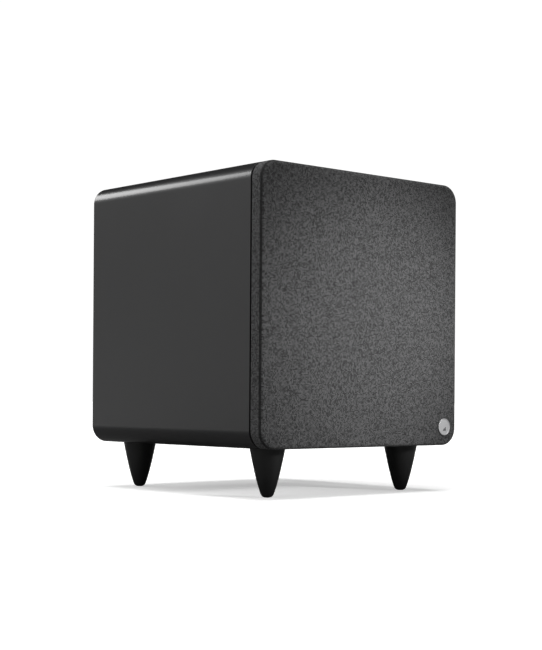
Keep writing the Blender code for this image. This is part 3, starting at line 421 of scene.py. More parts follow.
def finish(name):
    """The named finish, mixed the first time it is asked for."""
    if name in MIXED:
        return MIXED[name]
    colours = bpy.context.scene.subwoofer_colours
    sizes = bpy.context.scene.subwoofer_sizes
    steel = (0.56, 0.56, 0.54)
    recipes = {
        "satin_black_lacquer": lambda: lacquer(colours),
        # The stretch attribute carries painted shade along the cloth's rounded front fold.
        "grille_cloth": lambda: woven("grille_cloth", colours.cloth, colours.cloth_gaps,
                                      sizes.thread_pitch, edge="stretch"),
        "foot_black": lambda: grained("foot_black", colours.feet, 0.34, 500.0, 0.00001,
                                      Coat_Weight=0.25, Coat_Roughness=0.2),
        "badge_silver": lambda: brushed("badge_silver", colours.badge, 0.34, (1.0, 1.0, 30.0)),
        "moulded_black": lambda: grained("moulded_black", colours.plastic, 0.5, 2200.0, 0.00003),
        "black_board": lambda: grained("black_board", (0.015, 0.015, 0.015), 0.62, 900.0, 0.00003),
        "raw_fibreboard": fibreboard,
        "cast_basket": lambda: grained("cast_basket", (0.022, 0.022, 0.023), 0.45, 1500.0,
                                       0.00004, metallic=0.2),
        "paper_cone": lambda: fibrous("paper_cone", (0.022, 0.022, 0.022), scale=900.0),
        "black_rubber": lambda: grained("black_rubber", (0.014, 0.014, 0.014), 0.52, 700.0,
                                        0.00001, spread=0.15),
        "ferrite": lambda: grained("ferrite", (0.045, 0.045, 0.048), 0.7, 1300.0, 0.00005,
                                   spread=0.4),
        "zinc_steel": lambda: brushed("zinc_steel", steel, 0.28, (6.0, 6.0, 6.0), 300.0),
        "copper": lambda: wound("copper", (0.72, 0.33, 0.16), 0.45 * MM, 1),
        # Its second colour is painted shade between the threads.
        "doped_cloth": lambda: woven("doped_cloth", (0.50, 0.34, 0.14), (0.20, 0.12, 0.04),
                                     0.9 * MM, 0.7),
        "white_wadding": lambda: fibrous("white_wadding", (0.70, 0.70, 0.67),
                                         (1.0, 1.0, 0.35), 260.0, 0.0008, 0.2),
        "circuit_green": circuit_board,
        "black_anodised": lambda: grained("black_anodised", (0.018, 0.018, 0.019), 0.4, 2600.0,
                                          0.00001, metallic=0.6),
        "led_blue": light_lens,
        "legend_print": lambda: grained("legend_print", colours.legend, 0.6, 1800.0, 0.000004,
                                        spread=0.06),
        "contact_gold": lambda: brushed("contact_gold", (0.83, 0.60, 0.25), 0.2, (8, 8, 8),
                                        300.0),
        "ring_red": lambda: grained("ring_red", (0.45, 0.02, 0.02), 0.4, 1500.0, 0.00001,
                                    spread=0.1),
        "ring_white": lambda: grained("ring_white", (0.72, 0.72, 0.70), 0.4, 1500.0, 0.00001,
                                      spread=0.05),
    }
    MIXED[name] = recipes[name]()
    return MIXED[name]


# ---- shapes -------------------------------------------------------------------------------------
def filleted(corners, steps=5):
    """An outline through corners of (x, y, radius), each rounded to its radius."""
    points = []
    for index, (x, y, radius) in enumerate(corners):
        here = Vector((x, y))
        if radius == 0:
            points.append(tuple(here))
            continue
        before = corners[index - 1]
        after = corners[(index + 1) % len(corners)]
        back, ahead = Vector(before[:2]) - here, Vector(after[:2]) - here
        half = back.angle(ahead) / 2
        room = min(back.length * (1 if before[2] == 0 else 0.5),
                   ahead.length * (1 if after[2] == 0 else 0.5))
        reach = min(radius / math.tan(half), room)
        used = reach * math.tan(half)
        centre = here + (back.normalized() + ahead.normalized()).normalized() * (
            used / math.sin(half))
        spoke = here + back.normalized() * reach - centre
        turn = spoke.angle_signed(here + ahead.normalized() * reach - centre)
        for step in range(steps + 1):
            swung = Matrix.Rotation(-turn * step / steps, 2) @ spoke
            points.append(tuple(centre + swung))
    return points


def turned(outline, steps=72, closed=True):
    """A bmesh of an outline of (radius, height) points spun round its own Z axis."""
    bm = bmesh.new()
    verts = [bm.verts.new((radius, 0, height)) for radius, height in outline]
    edges = [bm.edges.new(pair) for pair in zip(verts, verts[1:])]
    if closed and (outline[0][0] > TINY or outline[-1][0] > TINY):
        edges.append(bm.edges.new((verts[-1], verts[0])))
    bmesh.ops.spin(bm, geom=verts + edges, cent=(0, 0, 0), axis=(0, 0, 1), angle=WHOLE_TURN,
                   steps=steps, use_merge=True)
    bmesh.ops.remove_doubles(bm, verts=bm.verts, dist=TINY / 10)
    return bm


def turned_cup(outline, steps):
    """Turns a cup whose outline meets the axis part of the way along, at its floor."""
    first = next(index for index, point in enumerate(outline) if point[0] == 0)
    return turned(outline[first + 1:] + outline[:first + 1], steps)


def block(low, high, radius=0.0, axis=2, segments=6):
    """A box from low to high whose four edges along one axis are rounded."""
    low, high = Vector(low), Vector(high)
    bm = bmesh.new()
    bmesh.ops.create_cube(bm, size=1.0, matrix=Matrix.Translation((low + high) / 2)
                          @ Matrix.Diagonal((*(high - low), 1.0)))
    if radius:
        bevel(bm, [edge for edge in bm.edges if runs_along(edge, axis)], radius, segments)
    return bm


def bevel(bm, edges, width, segments):
    return bmesh.ops.bevel(bm, geom=edges, offset=width, offset_type="OFFSET",
                           segments=segments, profile=0.5, affect="EDGES", material=-1)


def runs_along(edge, axis):
    across = edge.verts[1].co - edge.verts[0].co
    return abs(across[axis]) > across.length * 0.999


def edges_at(bm, axis, value):
    """The edges that lie wholly at one value of an axis."""
    return [edge for edge in bm.edges
            if all(abs(vert.co[axis] - value) < TINY for vert in edge.verts)]


def faces_at(bm, axis, value):
    return [face for face in bm.faces
            if all(abs(vert.co[axis] - value) < TINY for vert in face.verts)]


def open_edges(bm):
    return [edge for edge in bm.edges if edge.is_boundary]


def verts_of(items):
    return [item for item in items if isinstance(item, bmesh.types.BMVert)]


def drop_faces(bm, axis, value):
    bmesh.ops.delete(bm, geom=faces_at(bm, axis, value), context="FACES_ONLY")


def ring(bm, radius, place, steps=96):
    """Adds a circle of edges and returns them."""
    made = bmesh.ops.create_circle(bm, segments=steps, radius=radius, matrix=place)
    return list({edge for vert in made["verts"] for edge in vert.link_edges})


def carried(bm, edges, move):
    """Extrudes a loop of edges, applies move to the new one, and returns it."""
    grown = bmesh.ops.extrude_edge_only(bm, edges=edges)["geom"]
    verts = verts_of(grown)
    bmesh.ops.transform(bm, matrix=move, verts=verts)
    return [item for item in grown if isinstance(item, bmesh.types.BMEdge)
            and all(vert in verts for vert in item.verts)]


def opened(bm, face, radius, place, steps=96):
    """Opens a round hole in a flat face, and returns the edges of the hole."""
    border = list(face.edges)
    bmesh.ops.delete(bm, geom=[face], context="FACES_ONLY")
    hole = ring(bm, radius, place, steps)
    bmesh.ops.triangle_fill(bm, edges=border + hole)
    return hole


def stepped_hole(bm, axis, face_at, back_at, place, back_place, step):
    """Opens a rebated round hole through a board, from its face to its back."""
    hole = opened(bm, faces_at(bm, axis, face_at)[0], REBATE_RADIUS, place)
    shelf = carried(bm, hole, Matrix.Translation(step))
    share = CUTOUT_RADIUS / REBATE_RADIUS
    carried(bm, shelf, around(place, Matrix.Diagonal((share, share, 1, 1))))
    opened(bm, faces_at(bm, axis, back_at)[0], CUTOUT_RADIUS, back_place)
    bmesh.ops.bridge_loops(bm, edges=open_edges(bm))


def sunk_well(bm, top, corners, depth):
    """Sinks a well with rounded corners of (x, y, radius) into the top face."""
    face = max(faces_at(bm, 2, top), key=lambda face: face.calc_area())
    border = list(face.edges)
    bmesh.ops.delete(bm, geom=[face], context="FACES_ONLY")
    verts = [bm.verts.new((*point, top)) for point in filleted(corners, 3)]
    rim = [bm.edges.new(pair) for pair in zip(verts, verts[1:] + verts[:1])]
    bmesh.ops.bridge_loops(bm, edges=border + rim)
    floor = carried(bm, rim, Matrix.Translation((0, 0, -depth)))
    bmesh.ops.holes_fill(bm, edges=floor, sides=len(floor))


def backed(bm, lip, share, floor):
    """Grows a flange's underside, at height lip, into a narrower body down to floor."""
    drop_faces(bm, 2, lip)
    skirt = carried(bm, open_edges(bm), Matrix.Diagonal((*share, 1, 1)))
    skirt = carried(bm, skirt, Matrix.Translation((0, 0, floor - lip)))
    bmesh.ops.holes_fill(bm, edges=skirt, sides=len(skirt))


def around(place, matrix):
    """matrix, acting about the origin and axes of place."""
    return place @ matrix @ place.inverted()


def repeated(bm, places):
    """Copies what bm holds to each place, and drops the original."""
    original = bm.verts[:] + bm.edges[:] + bm.faces[:]
    first = bm.verts[:]
    for place in places:
        copy = bmesh.ops.duplicate(bm, geom=original)["geom"]
        bmesh.ops.transform(bm, matrix=place, verts=verts_of(copy))
    bmesh.ops.delete(bm, geom=first, context="VERTS")
    return bm


def joined(*shapes):
    """Several bmeshes as one."""
    whole = shapes[0]
    for shape in shapes[1:]:
        mesh = bpy.data.meshes.new("part")
        shape.to_mesh(mesh)
        shape.free()
        whole.from_mesh(mesh)
        bpy.data.meshes.remove(mesh)
    return whole


def circle_places(radius, count, turn=0.0, height=0.0):
    """Places round a circle about local Z, each turned with it."""
    for index in range(count):
        yield (Matrix.Rotation(turn + WHOLE_TURN * index / count, 4, "Z")
               @ Matrix.Translation((radius, 0, height)))


def thread_map(bm):
    """A map in metres that follows the cloth, looking along each face's main direction."""
    layer = bm.loops.layers.uv.new("threads")
    for face in bm.faces:
        sizes = [abs(part) for part in face.normal]
        main = sizes.index(max(sizes))
        across, along = ((1, 2), (0, 2), (0, 1))[main]
        for loop in face.loops:
            loop[layer].uv = (loop.vert.co[across], loop.vert.co[along])


def piece(bm, name, body, finish_name, place=None, replaces=(), sharp=38.0,
          threads=False):
    """Makes a bmesh a shown piece that rides on a body."""
    if place is not None:
        bmesh.ops.transform(bm, matrix=place, verts=bm.verts)
    bmesh.ops.recalc_face_normals(bm, faces=bm.faces)
    if threads:
        thread_map(bm)
    for edge in bm.edges:
        edge.smooth = edge.calc_face_angle(0.0) < math.radians(sharp)
    for face in bm.faces:
        face.smooth = True
    mesh = bpy.data.meshes.new(name)
    bm.to_mesh(mesh)
    bm.free()
    mesh.materials.append(finish(finish_name))
    obj = bpy.data.objects.new(name, mesh)
    bpy.context.scene.collection.objects.link(obj)
    even = obj.modifiers.new("even_shading", "WEIGHTED_NORMAL")
    even.keep_sharp = True
    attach(obj, body)
    if replaces:
        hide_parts(*replaces)
    return obj


def keep(node, finish_name):
    """Shows a CAD node as it is, in a better finish."""
    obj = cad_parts[node]
    obj.data.materials.clear()
    obj.data.materials.append(finish(finish_name))


def seat(node, look, level):
    """A node's place and its box in the frame that looks that way, from a level plane.

    level is a point on the plane that heights are counted from."""
    low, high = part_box(node)
    middle = (low + high) / 2
    axis = look.to_3x3() @ Vector((0, 0, 1))
    middle += axis * (Vector(level) - middle).dot(axis)
    place = Matrix.Translation(middle) @ look
    ends = [place.inverted() @ corner for corner in (low, high)]
    return (place, Vector(min(pair) for pair in zip(*ends)),
            Vector(max(pair) for pair in zip(*ends)))


def on_baffle(node):
    """The node's seat on the baffle, with heights out of the front."""
    return seat(node, LOOK_FRONT, (0, BAFFLE_Y, 0))


def on_plate(node):
    """The node's seat on the amplifier plate, with heights out of the back."""
    return seat(node, LOOK_BACK, (0, PLATE_Y, 0))


def on_underside(node):
    """The node's seat on the cabinet's underside, with heights downwards."""
    return seat(node, LOOK_DOWN, (0, 0, WRAP_LOW.z))


# ---- operators --------------------------------------------------------------------------------
class SUBWOOFER_OT_stage(bpy.types.Operator):
    """Sets up the camera, a pale floor and soft studio light"""
    bl_idname = "subwoofer.stage"
    bl_label = "Stage"

    def execute(self, context):
        self.add_camera(context.scene)
        self.add_floor()
        self.add_light(context.scene)
        return {"FINISHED"}

    def add_camera(self, scene):
        camera = bpy.data.cameras.new("camera")
        camera.lens = 78.77
        camera.sensor_width = 36
        camera.shift_y = 0.1055
        camera.clip_end = 50
        obj = bpy.data.objects.new("camera", camera)
        scene.collection.objects.link(obj)
        eye = (-1.0203, -1.1683, 0.1029)
        yaw, roll = math.radians(-41.2276), math.radians(0.39)
        obj.matrix_world = (Matrix.Translation(eye)
                            @ Matrix.Rotation(yaw, 4, "Z") @ LOOK_FRONT
                            @ Matrix.Rotation(roll, 4, "Z"))
        scene.camera = obj

    def add_floor(self):
        reach, glow = 12, 0.42
        bm = bmesh.new()
        bmesh.ops.create_grid(bm, x_segments=1, y_segments=1, size=reach)
        mesh = bpy.data.meshes.new("floor")
        bm.to_mesh(mesh)
        bm.free()
        recipe = Recipe("pale_floor", Specular_IOR_Level=0.1, Emission_Strength=glow)
        mottle = recipe.noise(recipe.place(), 3.0)
        recipe.drive("Base Color", recipe.mix(mottle, (0.90, 0.90, 0.90, 1), (0.93, 0.93, 0.93, 1)))
        recipe.drive("Roughness", 0.8 + mottle * 0.1)
        self.dim_to_the_object(recipe)
        mesh.materials.append(recipe.material)
        floor = bpy.data.objects.new("floor", mesh)
        bpy.context.scene.collection.objects.link(floor)

    def dim_to_the_object(self, recipe):
        """The pale floor is kept out of the object's reflections: other rays see a floor with
        painted shade, dark near the object and pale further out.
        """
        # The painted shade rises from dark at near to pale at far, measured from the object's
        # middle.
        near, far = 0.35, 1.3
        dark, pale = (0.11, 0.11, 0.11, 1), (0.56, 0.56, 0.56, 1)
        x, y, _ = recipe.axes(recipe.place())
        away = ((x * x + y * y) ** 0.5).step(near, far)
        reflected_floor_shade = recipe.tree.nodes.new("ShaderNodeBsdfDiffuse")
        recipe.tree.links.new(recipe.mix(away, dark, pale).socket, reflected_floor_shade.inputs["Color"])
        seen = recipe.tree.nodes.new("ShaderNodeLightPath")
        choice = recipe.tree.nodes.new("ShaderNodeMixShader")
        recipe.tree.links.new(seen.outputs["Is Camera Ray"], choice.inputs["Fac"])
        recipe.tree.links.new(reflected_floor_shade.outputs[0], choice.inputs[1])
        recipe.tree.links.new(recipe.shader.outputs[0], choice.inputs[2])
        recipe.tree.links.new(choice.outputs[0],
                              recipe.tree.nodes["Material Output"].inputs["Surface"])

    def add_light(self, scene):
        studio = scene.subwoofer_studio
        behind_left, front_right = (-0.70, 1.58, 1.20), (0.30, -0.80, 0.27)
        cloth_middle = Vector((0.005, WRAP_LOW.y, 0.165))
        strip = self.add_lamp(scene, "back_left_strip", "AREA", studio.key, behind_left, CENTRE,
                              math.radians(8))
        strip.shape = "RECTANGLE"
        strip.size, strip.size_y = 0.95, 0.50
        front = self.add_lamp(scene, "right_front_spot", "SPOT", studio.side, front_right,
                              cloth_middle)
        front.spot_size = math.radians(33)
        front.spot_blend = 1.0
        front.shadow_soft_size = 0.05
        overhead = bpy.data.lights.new("overhead", "SUN")
        overhead.energy = studio.top
        overhead.angle = math.radians(42)
        scene.collection.objects.link(bpy.data.objects.new("overhead", overhead))
        self.add_world(scene, studio.ambient)
        scene.view_settings.view_transform = "Standard"

    def add_lamp(self, scene, name, kind, power, spot, target, roll=0.0):
        light = bpy.data.lights.new(name, kind)
        light.energy = power
        obj = bpy.data.objects.new(name, light)
        scene.collection.objects.link(obj)
        aim = (target - Vector(spot)).to_track_quat("-Z", "Y").to_matrix().to_4x4()
        obj.matrix_world = Matrix.Translation(spot) @ aim @ Matrix.Rotation(roll, 4, "Z")
        return light

    def add_world(self, scene, ambient):
        """White behind the object, and a dimmer room with soft lobes for it to reflect."""
        world = bpy.data.worlds.new("studio")
        world.use_nodes = True
        tree = world.node_tree
        room = tree.nodes["Background"]
        room.inputs["Color"].default_value = (1, 1, 1, 1)
        recipe = Recipe.on(tree)
        look = recipe.node("ShaderNodeTexCoord", {}, {}, "Generated")
        strength = ambient
        for direction, tightness, power in ROOM_LOBES:
            along = recipe.node("ShaderNodeVectorMath", {"operation": "DOT_PRODUCT"},
                                {0: look, 1: Vector(direction).normalized()}, "Value")
            lobe = ((along - 1) * tightness).math("EXPONENT")
            strength = lobe * power + strength
        tree.links.new(strength.socket, room.inputs["Strength"])
        backdrop = tree.nodes.new("ShaderNodeBackground")
        backdrop.inputs["Color"].default_value = (1, 1, 1, 1)
        backdrop.inputs["Strength"].default_value = 1.05
        seen = tree.nodes.new("ShaderNodeLightPath")
        choice = tree.nodes.new("ShaderNodeMixShader")
        tree.links.new(seen.outputs["Is Camera Ray"], choice.inputs["Fac"])
        tree.links.new(room.outputs[0], choice.inputs[1])
        tree.links.new(backdrop.outputs[0], choice.inputs[2])
        tree.links.new(choice.outputs[0], tree.nodes["World Output"].inputs["Surface"])
        scene.world = world


class SUBWOOFER_OT_cabinet(bpy.types.Operator):
    """Builds the lacquered wrap and the front baffle, and finishes the inner boards"""
    bl_idname = "subwoofer.cabinet"
    bl_label = "Cabinet"

    def execute(self, context):
        sizes = context.scene.subwoofer_sizes
        self.add_wrap(sizes)
        self.add_baffle(sizes)
        keep("rear_panel", "black_board")
        keep("brace", "raw_fibreboard")
        return {"FINISHED"}

    def add_wrap(self, sizes):
        bm = block(WRAP_LOW, WRAP_HIGH, sizes.corner_radius, 1, sizes.corner_segments)
        for end in (WRAP_LOW.y, WRAP_HIGH.y):
            mouth = faces_at(bm, 1, end)
            bmesh.ops.inset_region(bm, faces=mouth, thickness=sizes.wall, use_even_offset=True)
            bmesh.ops.delete(bm, geom=mouth, context="FACES_ONLY")
        bmesh.ops.bridge_loops(bm, edges=open_edges(bm))
        inner_floor = WRAP_LOW.z + sizes.wall
        under = Matrix.Translation((0, CENTRE.y, WRAP_LOW.z))
        over = Matrix.Translation((0, CENTRE.y, inner_floor))
        stepped_hole(bm, 2, WRAP_LOW.z, inner_floor, under, over, (0, 0, REBATE_DEPTH))
        for end, width, segments in ((WRAP_LOW.y, 0.6 * MM, 2), (WRAP_HIGH.y, sizes.back_round, 5)):
            rim = [edge for edge in edges_at(bm, 1, end) if self.is_outside(edge, sizes.wall)]
            bevel(bm, rim, width, segments)
        piece(bm, "cabinet_shell", "cabinet", "satin_black_lacquer", replaces=["cabinet_wrap"])

    def is_outside(self, edge, wall):
        middle = (edge.verts[0].co + edge.verts[1].co) / 2 - CENTRE
        corner_reach = HALF * math.sqrt(2) - wall
        return (max(abs(middle.x), abs(middle.z)) > HALF - wall / 3
                or math.hypot(middle.x, middle.z) > corner_reach)

    def add_baffle(self, sizes):
        low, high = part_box("front_baffle")
        bm = block(low, high, sizes.corner_radius - sizes.wall, 1, 3)
        face_place = Matrix.Translation((0, low.y, CENTRE.z)) @ LOOK_FRONT
        back_place = Matrix.Translation((0, high.y, CENTRE.z)) @ LOOK_FRONT
        stepped_hole(bm, 1, low.y, high.y, face_place, back_place, (0, REBATE_DEPTH, 0))
        piece(bm, "front_baffle_board", "cabinet", "black_board", replaces=["front_baffle"])


class SUBWOOFER_OT_feet(bpy.types.Operator):
    """Turns the four cone feet and their studs"""
    bl_idname = "subwoofer.feet"
    bl_label = "Feet"

    def execute(self, context):
        tip, base, slimness = 4.6 * MM, 17.8 * MM, 0.72
        stud_radius = 3 * MM
        for end in ("front", "rear"):
            for side in ("left", "right"):
                name = f"{end}_{side}"
                place, _, high = seat(f"foot_{name}", LOOK_UP, (0, 0, 0))
                heights = [high.z * (step / 24) ** 1.2 for step in range(3, 24)]
                flank = [(tip + (base - tip) * (height / high.z) ** slimness, height)
                         for height in heights]
                bore = [(base - 0.5 * MM, high.z, 0), (stud_radius + 0.3 * MM, high.z, 0),
                        (stud_radius + 0.3 * MM, 31 * MM, 0), (0, 31 * MM, 0)]
                nose = filleted([(0, 0, 0), (5.2 * MM, 0, 5 * MM), (*flank[0], 0)], 10)
                top = filleted([(*flank[-1], 0), (base, high.z, 0.6 * MM), bore[0]], 4)
                outline = nose[:-1] + flank + top[1:] + [spot[:2] for spot in bore[1:]]
                piece(turned(outline, 64), f"cone_foot_{name}", "cabinet", "foot_black", place,
                      [f"foot_{name}"])
                place, low, high = seat(f"foot_stud_{name}", LOOK_UP, (0, 0, 0))
                outline = self.threaded(low.z, high.z, stud_radius)
                piece(turned(outline, 24), f"threaded_stud_{name}", "cabinet", "zinc_steel",
                      place, [f"foot_stud_{name}"])
        return {"FINISHED"}

    def threaded(self, low, high, radius):
        """A stud's outline with a ridge for each turn of its thread."""
        pitch, depth = 1 * MM, 0.5 * MM
        turns = int((high - low) / pitch) - 1
        start = low + (high - low - turns * pitch) / 2
        ridges = []
        for index in range(turns):
            foot = start + index * pitch
            ridges += [(radius - depth, foot), (radius, foot + pitch / 2)]
        return [(0, low), (radius - 2 * depth, low), *ridges,
                (radius - 2 * depth, high), (0, high)]


class SUBWOOFER_OT_grille(bpy.types.Operator):
    """Builds the grille: moulded frame, stretched cloth, badge and rubber sockets"""
    bl_idname = "subwoofer.grille"
    bl_label = "Grille"

    def execute(self, context):
        sizes = context.scene.subwoofer_sizes
        self.add_cloth(sizes)
        self.add_frame(sizes)
        self.add_badge()
        self.add_sockets()
        return {"FINISHED"}

    def add_cloth(self, sizes):
        low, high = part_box("grille_cloth")
        bm = block(low, high)
        drop_faces(bm, 1, high.y)
        bevel(bm, [edge for edge in bm.edges if runs_along(edge, 1)], sizes.corner_radius,
              sizes.corner_segments)
        # The stretch layer marks the middle of the front fold, where painted shade darkens the
        # cloth.
        stretch = bm.verts.layers.float.new("stretch")
        fold = bevel(bm, edges_at(bm, 1, low.y), sizes.cloth_fold, 6)
        for vert in {vert for face in fold["faces"] for vert in face.verts}:
            if 0.2 < (vert.co.y - low.y) / sizes.cloth_fold < 0.8:
                vert[stretch] = 1.0
        rim = edges_at(bm, 1, high.y)
        bevel_round = 0.5 * MM
        share = 1 - bevel_round / HALF
        back = Matrix.Translation((0, high.y, CENTRE.z))
        for vert in {vert for edge in rim for vert in edge.verts}:
            vert.co.y -= bevel_round
        rim = carried(bm, rim, around(back, Matrix.Translation((0, bevel_round, 0))
                                      @ Matrix.Diagonal((share, 1, share, 1))))
        share = 1 - sizes.hem / HALF
        carried(bm, rim, around(back, Matrix.Diagonal((share, 1, share, 1))))
        bmesh.ops.recalc_face_normals(bm, faces=bm.faces)
        bmesh.ops.solidify(bm, geom=bm.faces[:], thickness=sizes.cloth_thickness)
        cloth = piece(bm, "stretched_cloth", "grille", "grille_cloth", replaces=["grille_cloth"],
                      sharp=60.0, threads=True)

    def add_frame(self, sizes):
        low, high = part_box("grille_frame")
        peg_length, window, spread = 11 * MM, 119 * MM, 108 * MM
        back = high.y - peg_length - 0.9 * MM
        inset = low.x + HALF
        bm = block(low, (high.x, back, high.z), sizes.corner_radius - inset, 1, 14)
        front = Matrix.Translation((0, low.y, CENTRE.z)) @ LOOK_FRONT
        rear = Matrix.Translation((0, back, CENTRE.z)) @ LOOK_FRONT
        bevel(bm, edges_at(bm, 1, low.y), 2.6 * MM, 4)
        bevel(bm, edges_at(bm, 1, back), 0.8 * MM, 2)
        opened(bm, faces_at(bm, 1, low.y)[0], window, front)
        opened(bm, faces_at(bm, 1, back)[0], window, rear)
        bmesh.ops.bridge_loops(bm, edges=open_edges(bm))
        length = high.y - back
        peg = turned(filleted([(0, 0.5 * MM, 0), (3 * MM, 0.5 * MM, 0), (3 * MM, -length, 1 * MM),
                               (0, -length, 0)], 4), 24)
        places = [Matrix.Translation((x, back, CENTRE.z + z)) @ LOOK_FRONT
                  for x in (-spread, spread) for z in (-spread, spread)]
        piece(joined(bm, repeated(peg, places)), "grille_moulding", "grille", "moulded_black",
              replaces=["grille_frame"])

    def add_badge(self):
        place, low, high = seat("badge", LOOK_FRONT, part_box("badge")[1])
        radius, thick, rim, dish = high.x, high.z - low.z, 0.75 * MM, 0.25 * MM
        outline = filleted([(0, 0, 0), (radius, 0, 0.1 * MM), (radius, thick, 0.3 * MM),
                            (radius - rim, thick, 0.25 * MM),
                            (radius - rim - 0.2 * MM, thick - dish, 0.1 * MM),
                            (0, thick - dish, 0)])
        piece(turned(outline, 96), "badge_disc", "grille", "badge_silver", place, ["badge"],
              sharp=50.0)
        bars = [block((x * MM - 0.45 * MM, -4.2 * MM, thick - dish - 0.02 * MM),
                      (x * MM + 0.45 * MM, (tall - 4.2) * MM, thick - 0.08 * MM), 0.2 * MM, 2, 3)
                for x, tall in ((-1.6, 1.6), (0, 2.8), (1.6, 4.0))]
        piece(joined(*bars), "badge_bars", "grille", "moulded_black", place)

    def add_sockets(self):
        for row in ("top", "bottom"):
            for side in ("left", "right"):
                node = f"grille_socket_{row}_{side}"
                place, low, high = on_baffle(node)
                bore, shell, lip = 3.4 * MM, 5.2 * MM, 0.3 * MM
                outline = filleted([
                    (bore, high.z, 0.35 * MM), (high.x, high.z, 0.3 * MM), (high.x, lip, 0.1 * MM),
                    (shell, lip, 0.1 * MM), (shell, low.z, 1 * MM), (0, low.z, 0),
                    (0, low.z + 1.5 * MM, 0), (bore, low.z + 1.5 * MM, 0.5 * MM)], 4)
                piece(turned_cup(outline, 40), f"rubber_{node}", "cabinet", "black_rubber",
                      place, [node])


class SUBWOOFER_OT_woofer(bpy.types.Operator):
    """Builds the woofer: basket, motor, suspension and the parts that move"""
    bl_idname = "subwoofer.woofer"
    bl_label = "Woofer"

    def execute(self, context):
        self.add_basket()
        self.add_motor()
        self.add_moving_parts()
        self.add_suspension()
        self.add_fixings()
        keep("woofer_terminals", "moulded_black")
        return {"FINISHED"}

    def add_basket(self):
        place, low, high = on_baffle("woofer_basket")
        inner, wall, flange = 92 * MM, 3 * MM, 4 * MM
        lip = high.z - flange
        window_top, window_low = -18 * MM, -42 * MM
        outline = filleted([
            (inner, high.z, 0.6 * MM), (high.x, high.z, 0.8 * MM), (high.x, lip, 0.4 * MM),
            (inner + wall, lip, 1 * MM), (inner + 1 * MM, window_top, 0),
            (80 * MM, window_low, 0), (73 * MM, -58 * MM, 2 * MM), (70 * MM, low.z, 2 * MM),
            (31 * MM, low.z, 0.5 * MM), (31 * MM, low.z + wall, 0.5 * MM),
            (66 * MM, low.z + wall, 2 * MM), (69.5 * MM, -57 * MM, 1 * MM),
            (73.5 * MM, -49 * MM, 0.5 * MM), (61 * MM, -49 * MM, 0.5 * MM),
            (61 * MM, -46 * MM, 0.5 * MM), (75.5 * MM, -46 * MM, 0.5 * MM),
            (77 * MM, window_low, 0), (89.5 * MM, window_top, 0), (inner, lip, 1 * MM)], 4)
        bm = turned(outline + outline[:1], 96)
        self.cut_windows(bm, window_low, window_top)
        piece(bm, "pressed_basket", "cabinet", "cast_basket", place, ["woofer_basket"])

    def cut_windows(self, bm, low, high):
        """Opens six windows between two heights, and walls their edges."""
        spokes, half_rib = 6, math.radians(9)
        gone = []
        for face in bm.faces:
            heights = [vert.co.z for vert in face.verts]
            middle = face.calc_center_median()
            turn = math.atan2(middle.y, middle.x) % (WHOLE_TURN / spokes)
            if (min(heights) > low - TINY and max(heights) < high + TINY
                    and half_rib < turn < WHOLE_TURN / spokes - half_rib):
                gone.append(face)
        bmesh.ops.delete(bm, geom=gone, context="FACES")
        edges = [edge for edge in bm.edges if edge.is_boundary]
        for index in range(spokes):
            start = index * WHOLE_TURN / spokes
            here = [edge for edge in edges if start < math.atan2(
                *(edge.verts[0].co + edge.verts[1].co).yx) % WHOLE_TURN < start
                + WHOLE_TURN / spokes]
            bmesh.ops.bridge_loops(bm, edges=here)

    def add_motor(self):
        for node, name, inner, fillet, finish_name in (
                ("woofer_top_plate", "front_pole_plate", 28.6 * MM, 1 * MM, "zinc_steel"),
                ("woofer_magnet", "ring_magnet", 35 * MM, 2 * MM, "ferrite")):
            place, low, high = on_baffle(node)
            outline = filleted([(inner, high.z, fillet / 2), (high.x, high.z, fillet),
                                (high.x, low.z, fillet), (inner, low.z, fillet / 2)], 4)
            piece(turned(outline, 72), name, "cabinet", finish_name, place, [node])
        place, low, high = on_baffle("woofer_yoke")
        vent, pole, plate = 8 * MM, 24.2 * MM, 8 * MM
        outline = filleted([
            (vent, high.z, 1 * MM), (pole, high.z, 0.6 * MM), (pole, low.z + plate, 0.5 * MM),
            (high.x, low.z + plate, 1 * MM), (high.x, low.z, 1.5 * MM),
            (vent + 2 * MM, low.z, 0.5 * MM), (vent, low.z + 4 * MM, 1 * MM)], 4)
        piece(turned(outline, 72), "vented_yoke", "cabinet", "zinc_steel", place, ["woofer_yoke"])

    def add_moving_parts(self):
        body = "woofer_moving_parts"
        place, low, high = on_baffle("woofer_cone")
        rim, paper, flare = high.x, 1.2 * MM, 0.82
        rise = high.z - paper - low.z
        shares = [step / 18 for step in range(19)]
        under = [(NECK_RADIUS + (rim - NECK_RADIUS) * share, low.z + rise * share ** flare)
                 for share in shares]
        upper = [(radius, height + paper) for radius, height in under]
        piece(turned(upper + under[::-1], 96), "pulp_cone", body, "paper_cone", place,
              ["woofer_cone"], sharp=60.0)
        place, low, high = on_baffle("woofer_dust_cap")
        radius, height, shell = high.x, high.z - low.z, 0.8 * MM
        angles = [WHOLE_TURN / 4 * step / 12 for step in range(13)]
        dome = [(radius * math.sin(angle), low.z + height * math.cos(angle)) for angle in angles]
        inside = [((radius - shell) * math.sin(angle),
                   low.z + (height - shell) * math.cos(angle)) for angle in angles]
        piece(turned(dome + inside[::-1], 72), "domed_dust_cap", body, "paper_cone", place,
              ["woofer_dust_cap"], sharp=60.0)
        for node, name, wall, finish_name in (
                ("voice_coil_former", "coil_former", 0.6 * MM, "doped_cloth"),
                ("voice_coil_winding", "coil_winding", 1.4 * MM, "copper")):
            place, low, high = on_baffle(node)
            outline = [(high.x - wall, high.z), (high.x, high.z), (high.x, low.z),
                       (high.x - wall, low.z)]
            piece(turned(outline, 72), name, body, finish_name, place, [node],
                  threads=finish_name == "doped_cloth")

